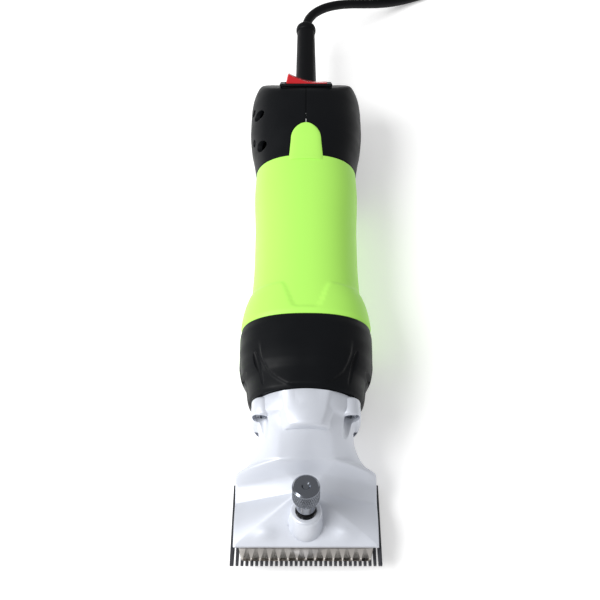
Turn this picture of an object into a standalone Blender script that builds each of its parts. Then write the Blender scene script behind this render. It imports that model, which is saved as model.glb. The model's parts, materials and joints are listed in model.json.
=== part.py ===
"""Electric sheep shears: a hand-held clipper with a motor in the handle and a crank-driven comb and cutter.

The comb's teeth point along -Y and the mains lead leaves along +Y. The tool rests on z = 0 with its
motor axis level, and the frame's origin is under the middle of its length.
"""

import math

import bmesh
import bpy
from mathutils import Matrix, Vector

MM = 0.001

# Fits between neighbours
GAP = 0.3 * MM
RUNNING_GAP = 0.4 * MM

# Lengths along the tool, from the comb's tips to the end of the strain relief
HEAD_LENGTH = 77.3 * MM
COLLAR_LENGTH = 41.6 * MM
HOUSING_LENGTH = 104.0 * MM
COVER_LENGTH = 68.2 * MM
RELIEF_LENGTH = 59.5 * MM

# Height of the motor axis over the surface that the tool rests on
AXIS_HEIGHT = 34.0 * MM

# Half widths and heights over the motor axis of the handle's shells
COLLAR_HALF_WIDTH = 35.3 * MM
COLLAR_NOSE_HALF_WIDTH = 28.6 * MM
COLLAR_TOP = 26.6 * MM
HOUSING_HALF_WIDTH = 28.7 * MM
HOUSING_TOP = 24.5 * MM
HOUSING_BOTTOM = 27.0 * MM
COVER_HALF_WIDTH = 33.4 * MM
COVER_TOP = 26.5 * MM
SHELL_WALL = 2.5 * MM
SHELL_STEPS = 28

# Tongue of the housing that laps the rear covers
TONGUE_LENGTH = 22.3 * MM
TONGUE_HALF_WIDTH = 9.6 * MM
TONGUE_TAPER = 1.8 * MM
TONGUE_STAND = 0.5 * MM
TONGUE_WALL = 2.8 * MM

# Head: its own axes run along the comb (back from the tips) and up from the comb's sole
HEAD_TILT = math.radians(13)
TIP_DROP = 22.0 * MM
HEAD_HALF_WIDTH = 36.4 * MM
NECK_HALF_WIDTH = 24.4 * MM
FLANGE_HALF_WIDTH = 28.5 * MM
FLANGE_THICK = 7.3 * MM
CASTING_WALL = 2.5 * MM
PLATE_EDGE = 7.0 * MM
PLATE_SIDE = 9.0 * MM
FACET_DEPTH = 24.0 * MM
FACET_RISE = 13.5 * MM

# Comb and cutter
COMB_WIDTH = 76.0 * MM
COMB_LENGTH = 46.0 * MM
COMB_THICK = 3.2 * MM
COMB_TEETH = 31
COMB_TOOTH_LENGTH = 16.0 * MM
COMB_TOOTH_SHARE = 0.74
COMB_TIP_SHARE = 0.8
CUTTER_WIDTH = 68.0 * MM
CUTTER_TEETH = 15
CUTTER_TOOTH_LENGTH = 7.2 * MM
CUTTER_BACK = 24.0 * MM
CUTTER_SETBACK = 1.8 * MM
CUTTER_THICK = 3.0 * MM
BLADE_GAP = 0.3 * MM
COMB_SCREW_OFFSET = 19.0 * MM
COMB_SCREW_BACK = 37.0 * MM
COMB_SCREW_RADIUS = 2.2 * MM

# Crank drive
MOTOR_BEARING_RADIUS = 8.0 * MM
MOTOR_SHAFT_RADIUS = 4.0 * MM
BEARING_WIDTH = 5.0 * MM
GEAR_MODULE = 0.75 * MM
PINION_TEETH = 8
GEAR_TEETH = 32
GEAR_WIDTH = 7.0 * MM
CRANK_THROW = 1.4 * MM
CRANK_SHAFT_RADIUS = 4.0 * MM
CRANK_BEARING_RADIUS = 8.0 * MM
CRANK_BUSH_RADIUS = 5.5 * MM
CRANK_WEB_RADIUS = 6.5 * MM
CRANK_PIN_RADIUS = 2.2 * MM
ROLLER_RADIUS = 4.5 * MM
ROLLER_BACK = 78.0 * MM
ROLLER_WIDTH = 7.0 * MM
CASE_WALL = 2.0 * MM

# Swing fork that carries the cutter
FORK_PIVOT_BACK = 52.5 * MM
FORK_POST_RADIUS = 4.0 * MM
FORK_HUB_RADIUS = 7.6 * MM
FORK_HUB_LOW = 10.6 * MM
FORK_HUB_HIGH = 17.0 * MM
FORK_TINE = 3.4 * MM
CLAW_BACK = 18.0 * MM
CLAW_SPREAD = 17.0 * MM
CLAW_RADIUS = 1.8 * MM

# Tension knob over the cutter
KNOB_RADIUS = 6.8 * MM
KNOB_GRIP_HEIGHT = 11.0 * MM
KNOB_NECK_RADIUS = 4.85 * MM
KNOB_NECK_HEIGHT = 8.0 * MM
KNOB_STAND = 28.0 * MM
KNOB_SHAFT_RADIUS = 3.0 * MM
BOSS_RADIUS = 8.4 * MM
BOSS_TOP = 24.5 * MM
BOSS_BORE_RADIUS = 5.4 * MM

# Universal motor
STATOR_LENGTH = 38.0 * MM
STATOR_FROM_FRONT = 32.5 * MM
STATOR_RING = 3.0 * MM
BORE_RADIUS = 12.0 * MM
POLE_SHOE = 2.0 * MM
COIL_THICK = 3.6 * MM
AIR_GAP = 0.5 * MM
FAN_FROM_FRONT = 9.0 * MM
FAN_LENGTH = 8.0 * MM
FAN_BLADES = 12
COMMUTATOR_RADIUS = 8.5 * MM
COMMUTATOR_LENGTH = 11.0 * MM
BRUSH_SECTION = (6.4 * MM, 4.9 * MM)
BRUSH_TUBE_WALL = 1.0 * MM

# Rocker switch on the sloping rear face
SLOPE_LENGTH = 19.3 * MM
BEZEL = (31.5 * MM, 24.0 * MM, 1.8 * MM)
SWITCH_BODY = (28.0 * MM, 21.0 * MM, 15.5 * MM)
ROCKER_HALF_LENGTH = 12.2 * MM
ROCKER_WIDTH = 17.6 * MM
ROCKER_TILT = math.radians(12)

# Mains lead
CORD_DIAMETER = 6.0 * MM
RELIEF_RADIUS = 6.6 * MM
RELIEF_TIP_RADIUS = 5.7 * MM
RELIEF_DROP = 4.5 * MM
RELIEF_BORE_GAP = 0.45 * MM
CORD_IN_RELIEF = 10.0 * MM
COIL_MEAN_RADIUS = 32.0 * MM
COIL_TURNS_ACROSS = 3
COIL_LAYERS = 4
COIL_LAYER_PITCH = 5.5 * MM
COIL_CENTRE = (76.8 * MM, 280.2 * MM)
PLUG_RELIEF_LENGTH = 10.0 * MM
PLUG_LENGTH = 30.0 * MM
PLUG_WIDTH = 26.0 * MM
PLUG_THICK = 16.0 * MM
PIN_RADIUS = 2.4 * MM
PIN_LENGTH = 19.0 * MM
PIN_SPACING = 19.0 * MM

# Places that follow from the sizes
COLLAR_FRONT = HEAD_LENGTH + GAP
HOUSING_FRONT = COLLAR_FRONT + COLLAR_LENGTH + GAP
COVER_FRONT = HOUSING_FRONT + HOUSING_LENGTH + GAP
COVER_REAR = COVER_FRONT + COVER_LENGTH
RELIEF_REAR = COVER_REAR + RELIEF_LENGTH
ORIGIN = RELIEF_REAR / 2
COLLAR_REAR = COLLAR_FRONT + COLLAR_LENGTH
HOUSING_REAR = HOUSING_FRONT + HOUSING_LENGTH
GEAR_CENTRES = GEAR_MODULE * (PINION_TEETH + GEAR_TEETH) / 2
CASE_FRONT = COLLAR_FRONT + 13.0 * MM
GEAR_REAR = HOUSING_FRONT - 2.5 * MM
PLATE_REAR = HOUSING_FRONT + 7.0 * MM
STATOR_FRONT = HOUSING_FRONT + STATOR_FROM_FRONT
STATOR_REAR = STATOR_FRONT + STATOR_LENGTH
BRACKET_FRONT = HOUSING_REAR - 9.0 * MM
COMMUTATOR_REAR = BRACKET_FRONT - 0.5 * MM
COMMUTATOR_FRONT = COMMUTATOR_REAR - COMMUTATOR_LENGTH
BRACKET_REAR = HOUSING_REAR + 4.0 * MM
CUTTER_SOLE = COMB_THICK + BLADE_GAP
CUTTER_TOP = CUTTER_SOLE + CUTTER_THICK

# Frames
BACKWARDS = Matrix.Rotation(math.radians(-90), 4, "X")


def on_axis(back, up=0.0, across=0.0):
    """A place on the motor axis, measured back from the comb's tips, up from the axis and across."""
    return Matrix.Translation((across, back - ORIGIN, AXIS_HEIGHT + up))


def in_head(along=0.0, over=0.0, across=0.0):
    """A place in the head: back along the comb, over its sole and across, turned with the comb."""
    tips = on_axis(0.0, -TIP_DROP) @ Matrix.Rotation(-HEAD_TILT, 4, "X")
    return tips @ Matrix.Translation((across, along, over))


def head_point(along, over):
    """The distance back and the height of a point of the head, in the motor's axes."""
    back = along * math.cos(HEAD_TILT) + over * math.sin(HEAD_TILT)
    return back, over * math.cos(HEAD_TILT) - along * math.sin(HEAD_TILT) - TIP_DROP


FINISHES = {
    "green": ((0.50, 0.96, 0.10), 0.45, 0.0),
    "black": ((0.010, 0.011, 0.012), 0.5, 0.0),
    "casting": ((0.72, 0.74, 0.77), 0.38, 0.6),
    "chrome": ((0.30, 0.31, 0.33), 0.25, 1.0),
    "steel": ((0.55, 0.55, 0.56), 0.32, 1.0),
    "comb": ((0.14, 0.13, 0.13), 0.40, 0.9),
    "cutter": ((0.60, 0.58, 0.55), 0.38, 0.9),
    "brass": ((0.78, 0.57, 0.25), 0.35, 1.0),
    "copper": ((0.75, 0.32, 0.16), 0.40, 1.0),
    "laminate": ((0.28, 0.28, 0.30), 0.55, 0.8),
    "carbon": ((0.03, 0.03, 0.03), 0.7, 0.0),
    "bakelite": ((0.10, 0.06, 0.04), 0.5, 0.0),
    "red": ((0.62, 0.02, 0.03), 0.30, 0.0),
    "rubber": ((0.012, 0.012, 0.013), 0.65, 0.0),
    "bronze": ((0.60, 0.42, 0.20), 0.45, 1.0),
}


def finish_of(name, finish):
    """A Principled material of the piece's own, from its finish's colour, roughness and metallic value."""
    colour, roughness, metallic = FINISHES[finish]
    made = bpy.data.materials.new(name + "_" + finish)
    made.use_nodes = True
    shader = made.node_tree.nodes["Principled BSDF"]
    shader.inputs["Base Color"].default_value = (*colour, 1.0)
    shader.inputs["Roughness"].default_value = roughness
    shader.inputs["Metallic"].default_value = metallic
    return made


def piece(name, bm, frame, finish, sharp=32):
    """Turns a bmesh into a named object in a frame. Without a finish it is a cutter."""
    bmesh.ops.remove_doubles(bm, verts=bm.verts, dist=1e-7)
    bmesh.ops.recalc_face_normals(bm, faces=bm.faces)
    mesh = bpy.data.meshes.new(name)
    bm.to_mesh(mesh)
    bm.free()
    mesh.shade_smooth()
    mesh.set_sharp_from_angle(angle=math.radians(sharp))
    made = bpy.data.objects.new(name, mesh)
    bpy.context.scene.collection.objects.link(made)
    made.matrix_world = frame
    if finish:
        mesh.materials.append(finish_of(name, finish))
    else:
        made.hide_render = True
        made.display_type = "WIRE"
    return made


def skin(name, rings, frame, finish):
    """Skins rings that have as many points each and closes both ends."""
    bm = bmesh.new()
    loops = [[bm.verts.new(point) for point in ring] for ring in rings]
    for low, high in zip(loops, loops[1:]):
        for i in range(len(low)):
            bm.faces.new((low[i - 1], low[i], high[i], high[i - 1]))
    bm.faces.new(loops[0])
    bm.faces.new(loops[-1])
    bmesh.ops.triangulate(bm, faces=bm.faces)
    return piece(name, bm, frame, finish)


def shell(name, outer, inner, frame, finish):
    """A tube wall between outer rings and inner rings, open at both ends."""
    bm = bmesh.new()
    circuit = outer + inner[::-1]
    loops = [[bm.verts.new(point) for point in ring] for ring in circuit]
    for low, high in zip(loops, loops[1:] + loops[:1]):
        for i in range(len(low)):
            bm.faces.new((low[i - 1], low[i], high[i], high[i - 1]))
    bmesh.ops.triangulate(bm, faces=bm.faces)
    return piece(name, bm, frame, finish)


def turned(name, profile, frame, finish, steps=18, closed=False):
    """Spins a profile of (radius, height) about the frame's Z. A closed profile is a ring."""
    bm = bmesh.new()
    points = [bm.verts.new((radius, 0.0, height)) for radius, height in profile]
    pairs = list(zip(points, points[1:]))
    if closed:
        pairs.append((points[-1], points[0]))
    edges = [bm.edges.new(pair) for pair in pairs]
    bmesh.ops.spin(
        bm, geom=points + edges, cent=(0, 0, 0), axis=(0, 0, 1), angle=math.tau, steps=steps, use_merge=True
    )
    return piece(name, bm, frame, finish)


def rod(name, radius, low, high, frame, finish, steps=18):
    """A plain cylinder along the frame's Z."""
    return turned(name, [(0, low), (radius, low), (radius, high), (0, high)], frame, finish, steps)


def ring(name, inner, outer, low, high, frame, finish, steps=18):
    """A plain ring about the frame's Z."""
    profile = [(outer, low), (outer, high), (inner, high), (inner, low)]
    return turned(name, profile, frame, finish, steps, closed=True)


def prism(name, outline, low, high, frame, finish):
    """An outline in the frame's XY, extruded along its Z."""
    rings = [[(x, y, z) for x, y in outline] for z in (low, high)]
    return skin(name, rings, frame, finish)


def block(name, low, high, frame, finish):
    """A box between two corners."""
    outline = [(low[0], low[1]), (high[0], low[1]), (high[0], high[1]), (low[0], high[1])]
    return prism(name, outline, low[2], high[2], frame, finish)


def combine(target, other, operation):
    """Adds a Boolean of another object, which becomes a hidden helper."""
    other.hide_render = True
    other.display_type = "WIRE"
    modifier = target.modifiers.new(other.name, "BOOLEAN")
    modifier.operation = operation
    modifier.object = other
    modifier.solver = "EXACT"


def cut(target, *cutters):
    for cutter in cutters:
        combine(target, cutter, "DIFFERENCE")


def weld(target, *others):
    for other in others:
        combine(target, other, "UNION")


# Handle outlines: each station is (distance back, half width, height above, height below)
COLLAR = (
    (COLLAR_FRONT, COLLAR_NOSE_HALF_WIDTH, COLLAR_TOP - 2.6 * MM, AXIS_HEIGHT - 5.0 * MM),
    (
        COLLAR_FRONT + 2.0 * MM, COLLAR_NOSE_HALF_WIDTH + 1.6 * MM, COLLAR_TOP - 1.6 * MM,
        AXIS_HEIGHT - 3.0 * MM
    ),
    (
        COLLAR_FRONT + 11.0 * MM, COLLAR_NOSE_HALF_WIDTH + 3.1 * MM, COLLAR_TOP - 1.2 * MM,
        AXIS_HEIGHT - 2.0 * MM
    ),
    (COLLAR_FRONT + 13.0 * MM, COLLAR_HALF_WIDTH - 2.4 * MM, COLLAR_TOP - 0.9 * MM, AXIS_HEIGHT - 0.6 * MM),
    (COLLAR_FRONT + 17.0 * MM, COLLAR_HALF_WIDTH - 0.7 * MM, COLLAR_TOP - 0.2 * MM, AXIS_HEIGHT + 0.6 * MM),
    (COLLAR_FRONT + 22.5 * MM, COLLAR_HALF_WIDTH, COLLAR_TOP, AXIS_HEIGHT + 1.0 * MM),
    (COLLAR_REAR - 5.0 * MM, COLLAR_HALF_WIDTH, COLLAR_TOP - 0.4 * MM, AXIS_HEIGHT + 1.0 * MM),
    (COLLAR_REAR, COLLAR_HALF_WIDTH - 0.7 * MM, COLLAR_TOP - 1.3 * MM, AXIS_HEIGHT),
)
HOUSING = (
    (HOUSING_FRONT, COLLAR_HALF_WIDTH - 0.8 * MM, COLLAR_TOP - 1.4 * MM, AXIS_HEIGHT - 1.0 * MM),
    (HOUSING_FRONT + 5.0 * MM, COLLAR_HALF_WIDTH - 1.3 * MM, COLLAR_TOP - 1.5 * MM, AXIS_HEIGHT - 1.8 * MM),
    (HOUSING_FRONT + 10.0 * MM, COLLAR_HALF_WIDTH - 2.1 * MM, COLLAR_TOP - 1.6 * MM, AXIS_HEIGHT - 3.0 * MM),
    (HOUSING_FRONT + 15.0 * MM, COLLAR_HALF_WIDTH - 3.4 * MM, COLLAR_TOP - 1.7 * MM, AXIS_HEIGHT - 4.4 * MM),
    (
        HOUSING_FRONT + 20.0 * MM, HOUSING_HALF_WIDTH + 1.5 * MM, HOUSING_TOP + 0.3 * MM,
        HOUSING_BOTTOM + 1.6 * MM
    ),
    (
        HOUSING_FRONT + 25.0 * MM, HOUSING_HALF_WIDTH + 0.7 * MM, HOUSING_TOP + 0.2 * MM,
        HOUSING_BOTTOM + 0.8 * MM
    ),
    (HOUSING_FRONT + 45.0 * MM, HOUSING_HALF_WIDTH, HOUSING_TOP, HOUSING_BOTTOM),
    (HOUSING_REAR - 42.0 * MM, HOUSING_HALF_WIDTH, HOUSING_TOP, HOUSING_BOTTOM),
    (
        HOUSING_REAR - 14.5 * MM, HOUSING_HALF_WIDTH + 1.0 * MM, HOUSING_TOP - 0.2 * MM,
        HOUSING_BOTTOM + 1.6 * MM
    ),
    (HOUSING_REAR, HOUSING_HALF_WIDTH + 0.5 * MM, HOUSING_TOP - 0.5 * MM, HOUSING_BOTTOM + 3.0 * MM),
)
COVER = (
    (COVER_FRONT, HOUSING_HALF_WIDTH + 0.5 * MM, HOUSING_TOP - 0.5 * MM, HOUSING_BOTTOM + 3.0 * MM),
    (COVER_FRONT + 9.0 * MM, COVER_HALF_WIDTH - 3.0 * MM, COVER_TOP - 1.7 * MM, AXIS_HEIGHT - 2.0 * MM),
    (COVER_FRONT + 15.0 * MM, COVER_HALF_WIDTH - 2.0 * MM, COVER_TOP - 1.0 * MM, AXIS_HEIGHT - 0.8 * MM),
    (COVER_FRONT + 21.0 * MM, COVER_HALF_WIDTH - 0.9 * MM, COVER_TOP - 0.5 * MM, AXIS_HEIGHT + 0.5 * MM),
    (COVER_FRONT + 33.0 * MM, COVER_HALF_WIDTH, COVER_TOP, AXIS_HEIGHT + 1.0 * MM),
    (COVER_REAR - 22.7 * MM, COVER_HALF_WIDTH - 0.2 * MM, COVER_TOP, AXIS_HEIGHT + 1.0 * MM),
    (COVER_REAR - 16.2 * MM, COVER_HALF_WIDTH - 0.7 * MM, COVER_TOP - 0.3 * MM, AXIS_HEIGHT + 0.5 * MM),
    (COVER_REAR - 10.2 * MM, COVER_HALF_WIDTH - 2.0 * MM, COVER_TOP - 1.0 * MM, AXIS_HEIGHT - 0.6 * MM),
    (COVER_REAR - 3.7 * MM, COVER_HALF_WIDTH - 5.3 * MM, COVER_TOP - 2.5 * MM, AXIS_HEIGHT - 3.5 * MM),
    (COVER_REAR, COVER_HALF_WIDTH - 9.5 * MM, COVER_TOP - 5.5 * MM, AXIS_HEIGHT - 7.0 * MM),
)


def oval(half_width, above, below, inset=0.0, fullness=2.35, steps=SHELL_STEPS):
    """A closed outline across the tool, flat where it meets the surface that the tool rests on."""
    points = []
    for i in range(steps):
        angle = math.tau * i / steps
        across = math.copysign(abs(math.cos(angle)) ** (2 / fullness), math.cos(angle))
        upright = math.copysign(abs(math.sin(angle)) ** (2 / fullness), math.sin(angle))
        height = (above if upright > 0 else below) - inset
        floor = inset - AXIS_HEIGHT
        points.append(((half_width - inset) * across, max(height * upright, floor)))
    return points


def station_at(stations, back):
    """The half width and heights at a distance back, between the stations on either side of it."""
    for front, rear in zip(stations, stations[1:]):
        if back <= rear[0] or rear is stations[-1]:
            share = (back - front[0]) / (rear[0] - front[0])
            return [a + (b - a) * share for a, b in zip(front[1:], rear[1:])]


def hoop(back, outline):
    """An outline across the tool as a ring of points at a distance back, from the motor axis."""
    return [(x, back, z) for x, z in outline]


def hoops(stations, inset, low=None, high=None):
    """Rings of a shell between two distances back, inside its outer face by an inset."""
    low = stations[0][0] if low is None else low
    high = stations[-1][0] if high is None else high
    backs = [low] + [s[0] for s in stations if low + GAP < s[0] < high - GAP] + [high]
    return [hoop(back, oval(*station_at(stations, back), inset)) for back in backs]


AXIS = on_axis(0.0)


# Shells of the handle

def tongue_outline(grow):
    """Plan of the housing's tongue, from ahead of the joint to its round tip, as (across, back)."""
    tip = TONGUE_HALF_WIDTH - TONGUE_TAPER + grow
    centre = HOUSING_REAR + TONGUE_LENGTH - (TONGUE_HALF_WIDTH - TONGUE_TAPER)
    root = HOUSING_REAR - 3.0 * MM
    points = [(-TONGUE_HALF_WIDTH - grow, root), (TONGUE_HALF_WIDTH + grow, root)]
    for i in range(9):
        angle = math.pi * i / 8
        points.append((tip * math.cos(angle), centre + tip * math.sin(angle)))
    return points


def motor_housing():
    housing = shell("motor_housing", hoops(HOUSING, 0.0), hoops(HOUSING, SHELL_WALL), AXIS, "green")
    low = HOUSING_REAR - 2.0 * MM
    high = HOUSING_REAR + TONGUE_LENGTH + 4.0 * MM
    lap = ((low, *station_at(HOUSING, HOUSING_REAR)),) + COVER[:-1]
    tongue = skin("tongue", hoops(lap, -TONGUE_STAND, low, high), AXIS, None)
    hollow = hoops(lap, TONGUE_WALL - TONGUE_STAND, low - MM, high + MM)
    plan = prism("tongue_plan", tongue_outline(0.0), HOUSING_TOP * 0.4, HOUSING_TOP * 2, AXIS, None)
    combine(tongue, plan, "INTERSECT")
    cut(tongue, skin("tongue_hollow", hollow, AXIS, None))
    weld(housing, tongue)


SLOPE_FRONT = COVER_REAR - SLOPE_LENGTH
SLOPE_TOP = COVER_TOP - 1.0 * MM
SLOPE_CENTRE = (COVER_REAR - SLOPE_LENGTH / 2, SLOPE_TOP - SLOPE_LENGTH / 2)
SLOPE = on_axis(*SLOPE_CENTRE) @ Matrix.Rotation(math.radians(-45), 4, "X")
COVER_SCREWS = ((COVER_FRONT + 12.5 * MM, 15.5 * MM), (COVER_FRONT + 34.5 * MM, 16.5 * MM))
COVER_SCREW_SEAT = 22.6 * MM


def slope_cutter(name, depth):
    """Everything over the sloping rear face, or over a plane at a depth inside it."""
    side = COVER_HALF_WIDTH * 2
    return block(name, (-side, -side, -depth), (side, side, side * 2), SLOPE, None)


def sideways(back, up):
    """A frame whose Z runs across the tool."""
    return on_axis(back, up) @ Matrix.Rotation(math.radians(90), 4, "Y")


def rear_cover(name, side):
    """One half of the rear cover, split on the tool's middle plane; side is -1 on the left."""
    cover = skin(name, hoops(COVER, 0.0), AXIS, "black")
    inside = hoops(COVER, SHELL_WALL, COVER_FRONT + GAP, COVER_REAR - SHELL_WALL)
    inside[0] = hoop(COVER_FRONT - MM, oval(*COVER[0][1:], SHELL_WALL))
    cavity = skin(name + "_cavity", inside, AXIS, None)
    cut(cavity, slope_cutter(name + "_cavity_slope", SHELL_WALL))
    half = COVER_HALF_WIDTH * 2
    for number, (back, up) in enumerate(COVER_SCREWS):
        cut(cavity, rod(f"{name}_boss_{number}", 4.6 * MM, -half, half, sideways(back, up), None, 16))
    cut(cover, cavity, slope_cutter(name + "_slope", 0.0))
    spans = (GAP / 2, half) if side > 0 else (-half, -GAP / 2)
    keep = block(
        name + "_half", (spans[0], COVER_FRONT - half, -half), (spans[1], COVER_REAR + half, half), AXIS, None
    )
    combine(cover, keep, "INTERSECT")
    plan = prism(name + "_tongue", tongue_outline(GAP), HOUSING_TOP * 0.3, HOUSING_TOP * 2, AXIS, None)
    cut(cover, plan)
    grip = SWITCH_BODY[0] / 2 + GAP
    deep = SWITCH_BODY[1] / 2 + GAP
    cut(cover, block(name + "_switch", (-grip, -deep, -7 * MM), (grip, deep, 9 * MM), SLOPE, None))
    relief = on_axis(COVER_REAR, -RELIEF_DROP) @ BACKWARDS
    hole = RELIEF_RADIUS + GAP + 0.4 * MM
    cut(cover, rod(name + "_relief", hole, -9 * MM, 5 * MM, relief, None))
    for number, (back, up) in enumerate(COVER_SCREWS):
        across = sideways(back, up)
        cut(cover, rod(f"{name}_bore_{number}", 1.5 * MM + GAP, -half, 13 * MM, across, None, 12))
        if side < 0:
            cut(
                cover,
                rod(f"{name}_sink_{number}", 3.3 * MM, -half, 2.4 * MM - COVER_SCREW_SEAT, across, None, 16)
            )
    return cover


def cover_screws():
    for number, (back, up) in enumerate(COVER_SCREWS):
        seat = -COVER_SCREW_SEAT
        profile = [(0, seat), (2.9 * MM, seat), (2.9 * MM, seat + 2.1 * MM), (1.5 * MM, seat + 2.1 * MM)]
        profile += [(1.5 * MM, 12.3 * MM), (0, 12.3 * MM)]
        turned(f"cover_screw_{number + 1}", profile, sideways(back, up), "steel", 12)


COLLAR_OPENING = (17.5 * MM, 15.5 * MM, 27.0 * MM)
HEAD_SCREW_ACROSS = 22.7 * MM
HEAD_SCREW_HEIGHTS = (10.0 * MM, -12.0 * MM)
HEAD_SCREW_RADIUS = 2.0 * MM


def gear_collar():
    collar = skin("gear_collar", hoops(COLLAR, 0.0), AXIS, "black")
    opening = [hoop(back, oval(*COLLAR_OPENING, fullness=5)) for back in (COLLAR_FRONT - MM, CASE_FRONT + MM)]
    cut(collar, skin("collar_opening", opening, AXIS, None))
    inside = hoops(COLLAR, SHELL_WALL, CASE_FRONT, COLLAR_REAR)
    inside.append(hoop(COLLAR_REAR + MM, oval(*COLLAR[-1][1:], SHELL_WALL)))
    cut(collar, skin("collar_cavity", inside, AXIS, None))
    for name, place in head_screw_places():
        depth = COLLAR_FRONT + 10 * MM
        cut(collar, rod(name + "_tapping", HEAD_SCREW_RADIUS + GAP, 0, depth, place, None, 12))


def gear_case():
    """Bearing carrier inside the collar: a cup with the crank's front bearing in its front wall."""
    start = CASE_FRONT + GAP
    outset = SHELL_WALL + GAP
    inside = [hoop(back, oval(*station_at(COLLAR, max(back, start + 6 * MM)), outset + CASE_WALL))
              for back in (start + 6 * MM, COLLAR_REAR - 8 * MM, COLLAR_REAR + MM)]
    case = skin("gear_case", hoops(COLLAR, outset, start, COLLAR_REAR), AXIS, "casting")
    crank = on_axis(0.0, -GEAR_CENTRES) @ BACKWARDS
    cut(case, skin("gear_case_cavity", inside, AXIS, None))
    cut(case, rod("gear_case_bearing_seat", CRANK_BEARING_RADIUS + GAP, 0, COLLAR_REAR - 9 * MM, crank, None))


def head_screw_places():
    """Each head screw's name and its frame, with Z along the screw."""
    for row, up in zip(("upper", "lower"), HEAD_SCREW_HEIGHTS):
        for hand, side in (("left", -1), ("right", 1)):
            place = on_axis(0.0, up, side * HEAD_SCREW_ACROSS) @ BACKWARDS
            yield f"head_screw_{row}_{hand}", place


def head_screws():
    for name, place in head_screw_places():
        face = HEAD_LENGTH - FLANGE_THICK - GAP
        end = COLLAR_FRONT + 9 * MM
        profile = [(0, face - 2.2 * MM), (2.6 * MM, face - 2.2 * MM), (3.2 * MM, face - 1.4 * MM)]
        profile += [(3.2 * MM, face), (HEAD_SCREW_RADIUS, face), (HEAD_SCREW_RADIUS, end), (0, end)]
        turned(name, profile, place, "chrome", 14)


# Head casting

def head_section(low, high, half_width, side, ridge, roundness):
    """One section of the casting, on the slanted plane through a low and a high point of its middle.

    side holds the shares of the height where the side wall starts and ends, and ridge the half width
    of the flat top. roundness turns this outline into an oval.
    """
    corners = [(0.0, 0.0), (1.0, side[0]), (1.0, side[1]), (ridge / half_width, 1.0), (0.0, 1.0)]
    angles = [math.radians(turn) for turn in (-90, -42, 4, 58, 90)]
    counts = (2, 2, 4, 2)
    half = []
    for group, count in enumerate(counts):
        for i in range(count):
            share = i / count
            flat = [a + (b - a) * share for a, b in zip(corners[group], corners[group + 1])]
            angle = angles[group] + (angles[group + 1] - angles[group]) * share
            belly = 0.72 if angle < 0 else 1.0
            rise = math.copysign(abs(math.sin(angle)) ** belly, angle)
            bend = [math.cos(angle) ** belly, 0.5 + 0.5 * rise]
            half.append([a + (b - a) * roundness for a, b in zip(flat, bend)])
    half.append([0.0, 1.0])
    outline = half + [[-x, s] for x, s in half[-2:0:-1]]
    return [
        (x * half_width, low[0] + (high[0] - low[0]) * s, low[1] + (high[1] - low[1]) * s) for x, s in outline
    ]


def plate_height(along):
    """Height over the sole of the front facet, from the plate's front edge to the facet's back."""
    return PLATE_SIDE + FACET_RISE * (along - PLATE_EDGE) / FACET_DEPTH


FACET_BACK = PLATE_EDGE + FACET_DEPTH
HEEL = COMB_LENGTH
NECK_BACK = HEAD_LENGTH - FLANGE_THICK - 3.5 * MM
FLANGE_ABOVE = 24.0 * MM
FLANGE_BELOW = 28.6 * MM


def casting_sections():
    """Stations of the casting: low point, high point, half width, side shares, ridge, roundness."""
    sole = CUTTER_SOLE
    width = HEAD_HALF_WIDTH
    neck = NECK_HALF_WIDTH
    flange = FLANGE_HALF_WIDTH
    edge = (PLATE_SIDE - 0.5 * MM, width - MM)
    peak = PLATE_SIDE + FACET_RISE
    rear = HEAD_LENGTH
    front = rear - FLANGE_THICK
    return (
        (head_point(PLATE_EDGE, sole), head_point(PLATE_EDGE, edge[0]), width, (0, 0.9), edge[1], 0),
        (
            head_point(PLATE_EDGE + MM, sole), head_point(PLATE_EDGE + MM, PLATE_SIDE), width, (0, 0.97),
            edge[1], 0
        ),
        (head_point(FACET_BACK, sole), head_point(FACET_BACK, peak), width, (0, 0.29), 3 * MM, 0),
        (
            head_point(FACET_BACK + 7 * MM, sole), head_point(FACET_BACK + 6 * MM, peak + 5 * MM), width,
            (0, 0.3), 3 * MM, 0.1
        ),
        (
            head_point(HEEL, sole), head_point(HEEL - 4 * MM, peak + 16 * MM), width - 0.4 * MM,
            (0.02, 0.32), 6 * MM, 0.3
        ),
        (
            (NECK_BACK - 12 * MM, -FLANGE_BELOW - 1.5 * MM), (NECK_BACK - 14 * MM, 10 * MM),
            neck + 6.4 * MM, (0.05, 0.4), 10 * MM, 0.5
        ),
        (
            (NECK_BACK - 6 * MM, -FLANGE_BELOW), (NECK_BACK - 8.5 * MM, 17.5 * MM), neck + 1.8 * MM,
            (0.2, 0.6), 12 * MM, 0.8
        ),
        ((NECK_BACK, -FLANGE_BELOW), (NECK_BACK - 5.0 * MM, 21.5 * MM), neck, (0.3, 0.6), 14 * MM, 0.95),
        (
            (front - 0.6 * MM, -FLANGE_BELOW), (front - 2 * MM, FLANGE_ABOVE - 0.8 * MM),
            neck + 0.4 * MM, (0.3, 0.6), 14 * MM, 1
        ),
        ((front, -FLANGE_BELOW), (front, FLANGE_ABOVE), flange, (0.3, 0.6), 14 * MM, 1),
        ((rear, -FLANGE_BELOW), (rear, FLANGE_ABOVE), flange, (0.3, 0.6), 14 * MM, 1),
    )


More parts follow.
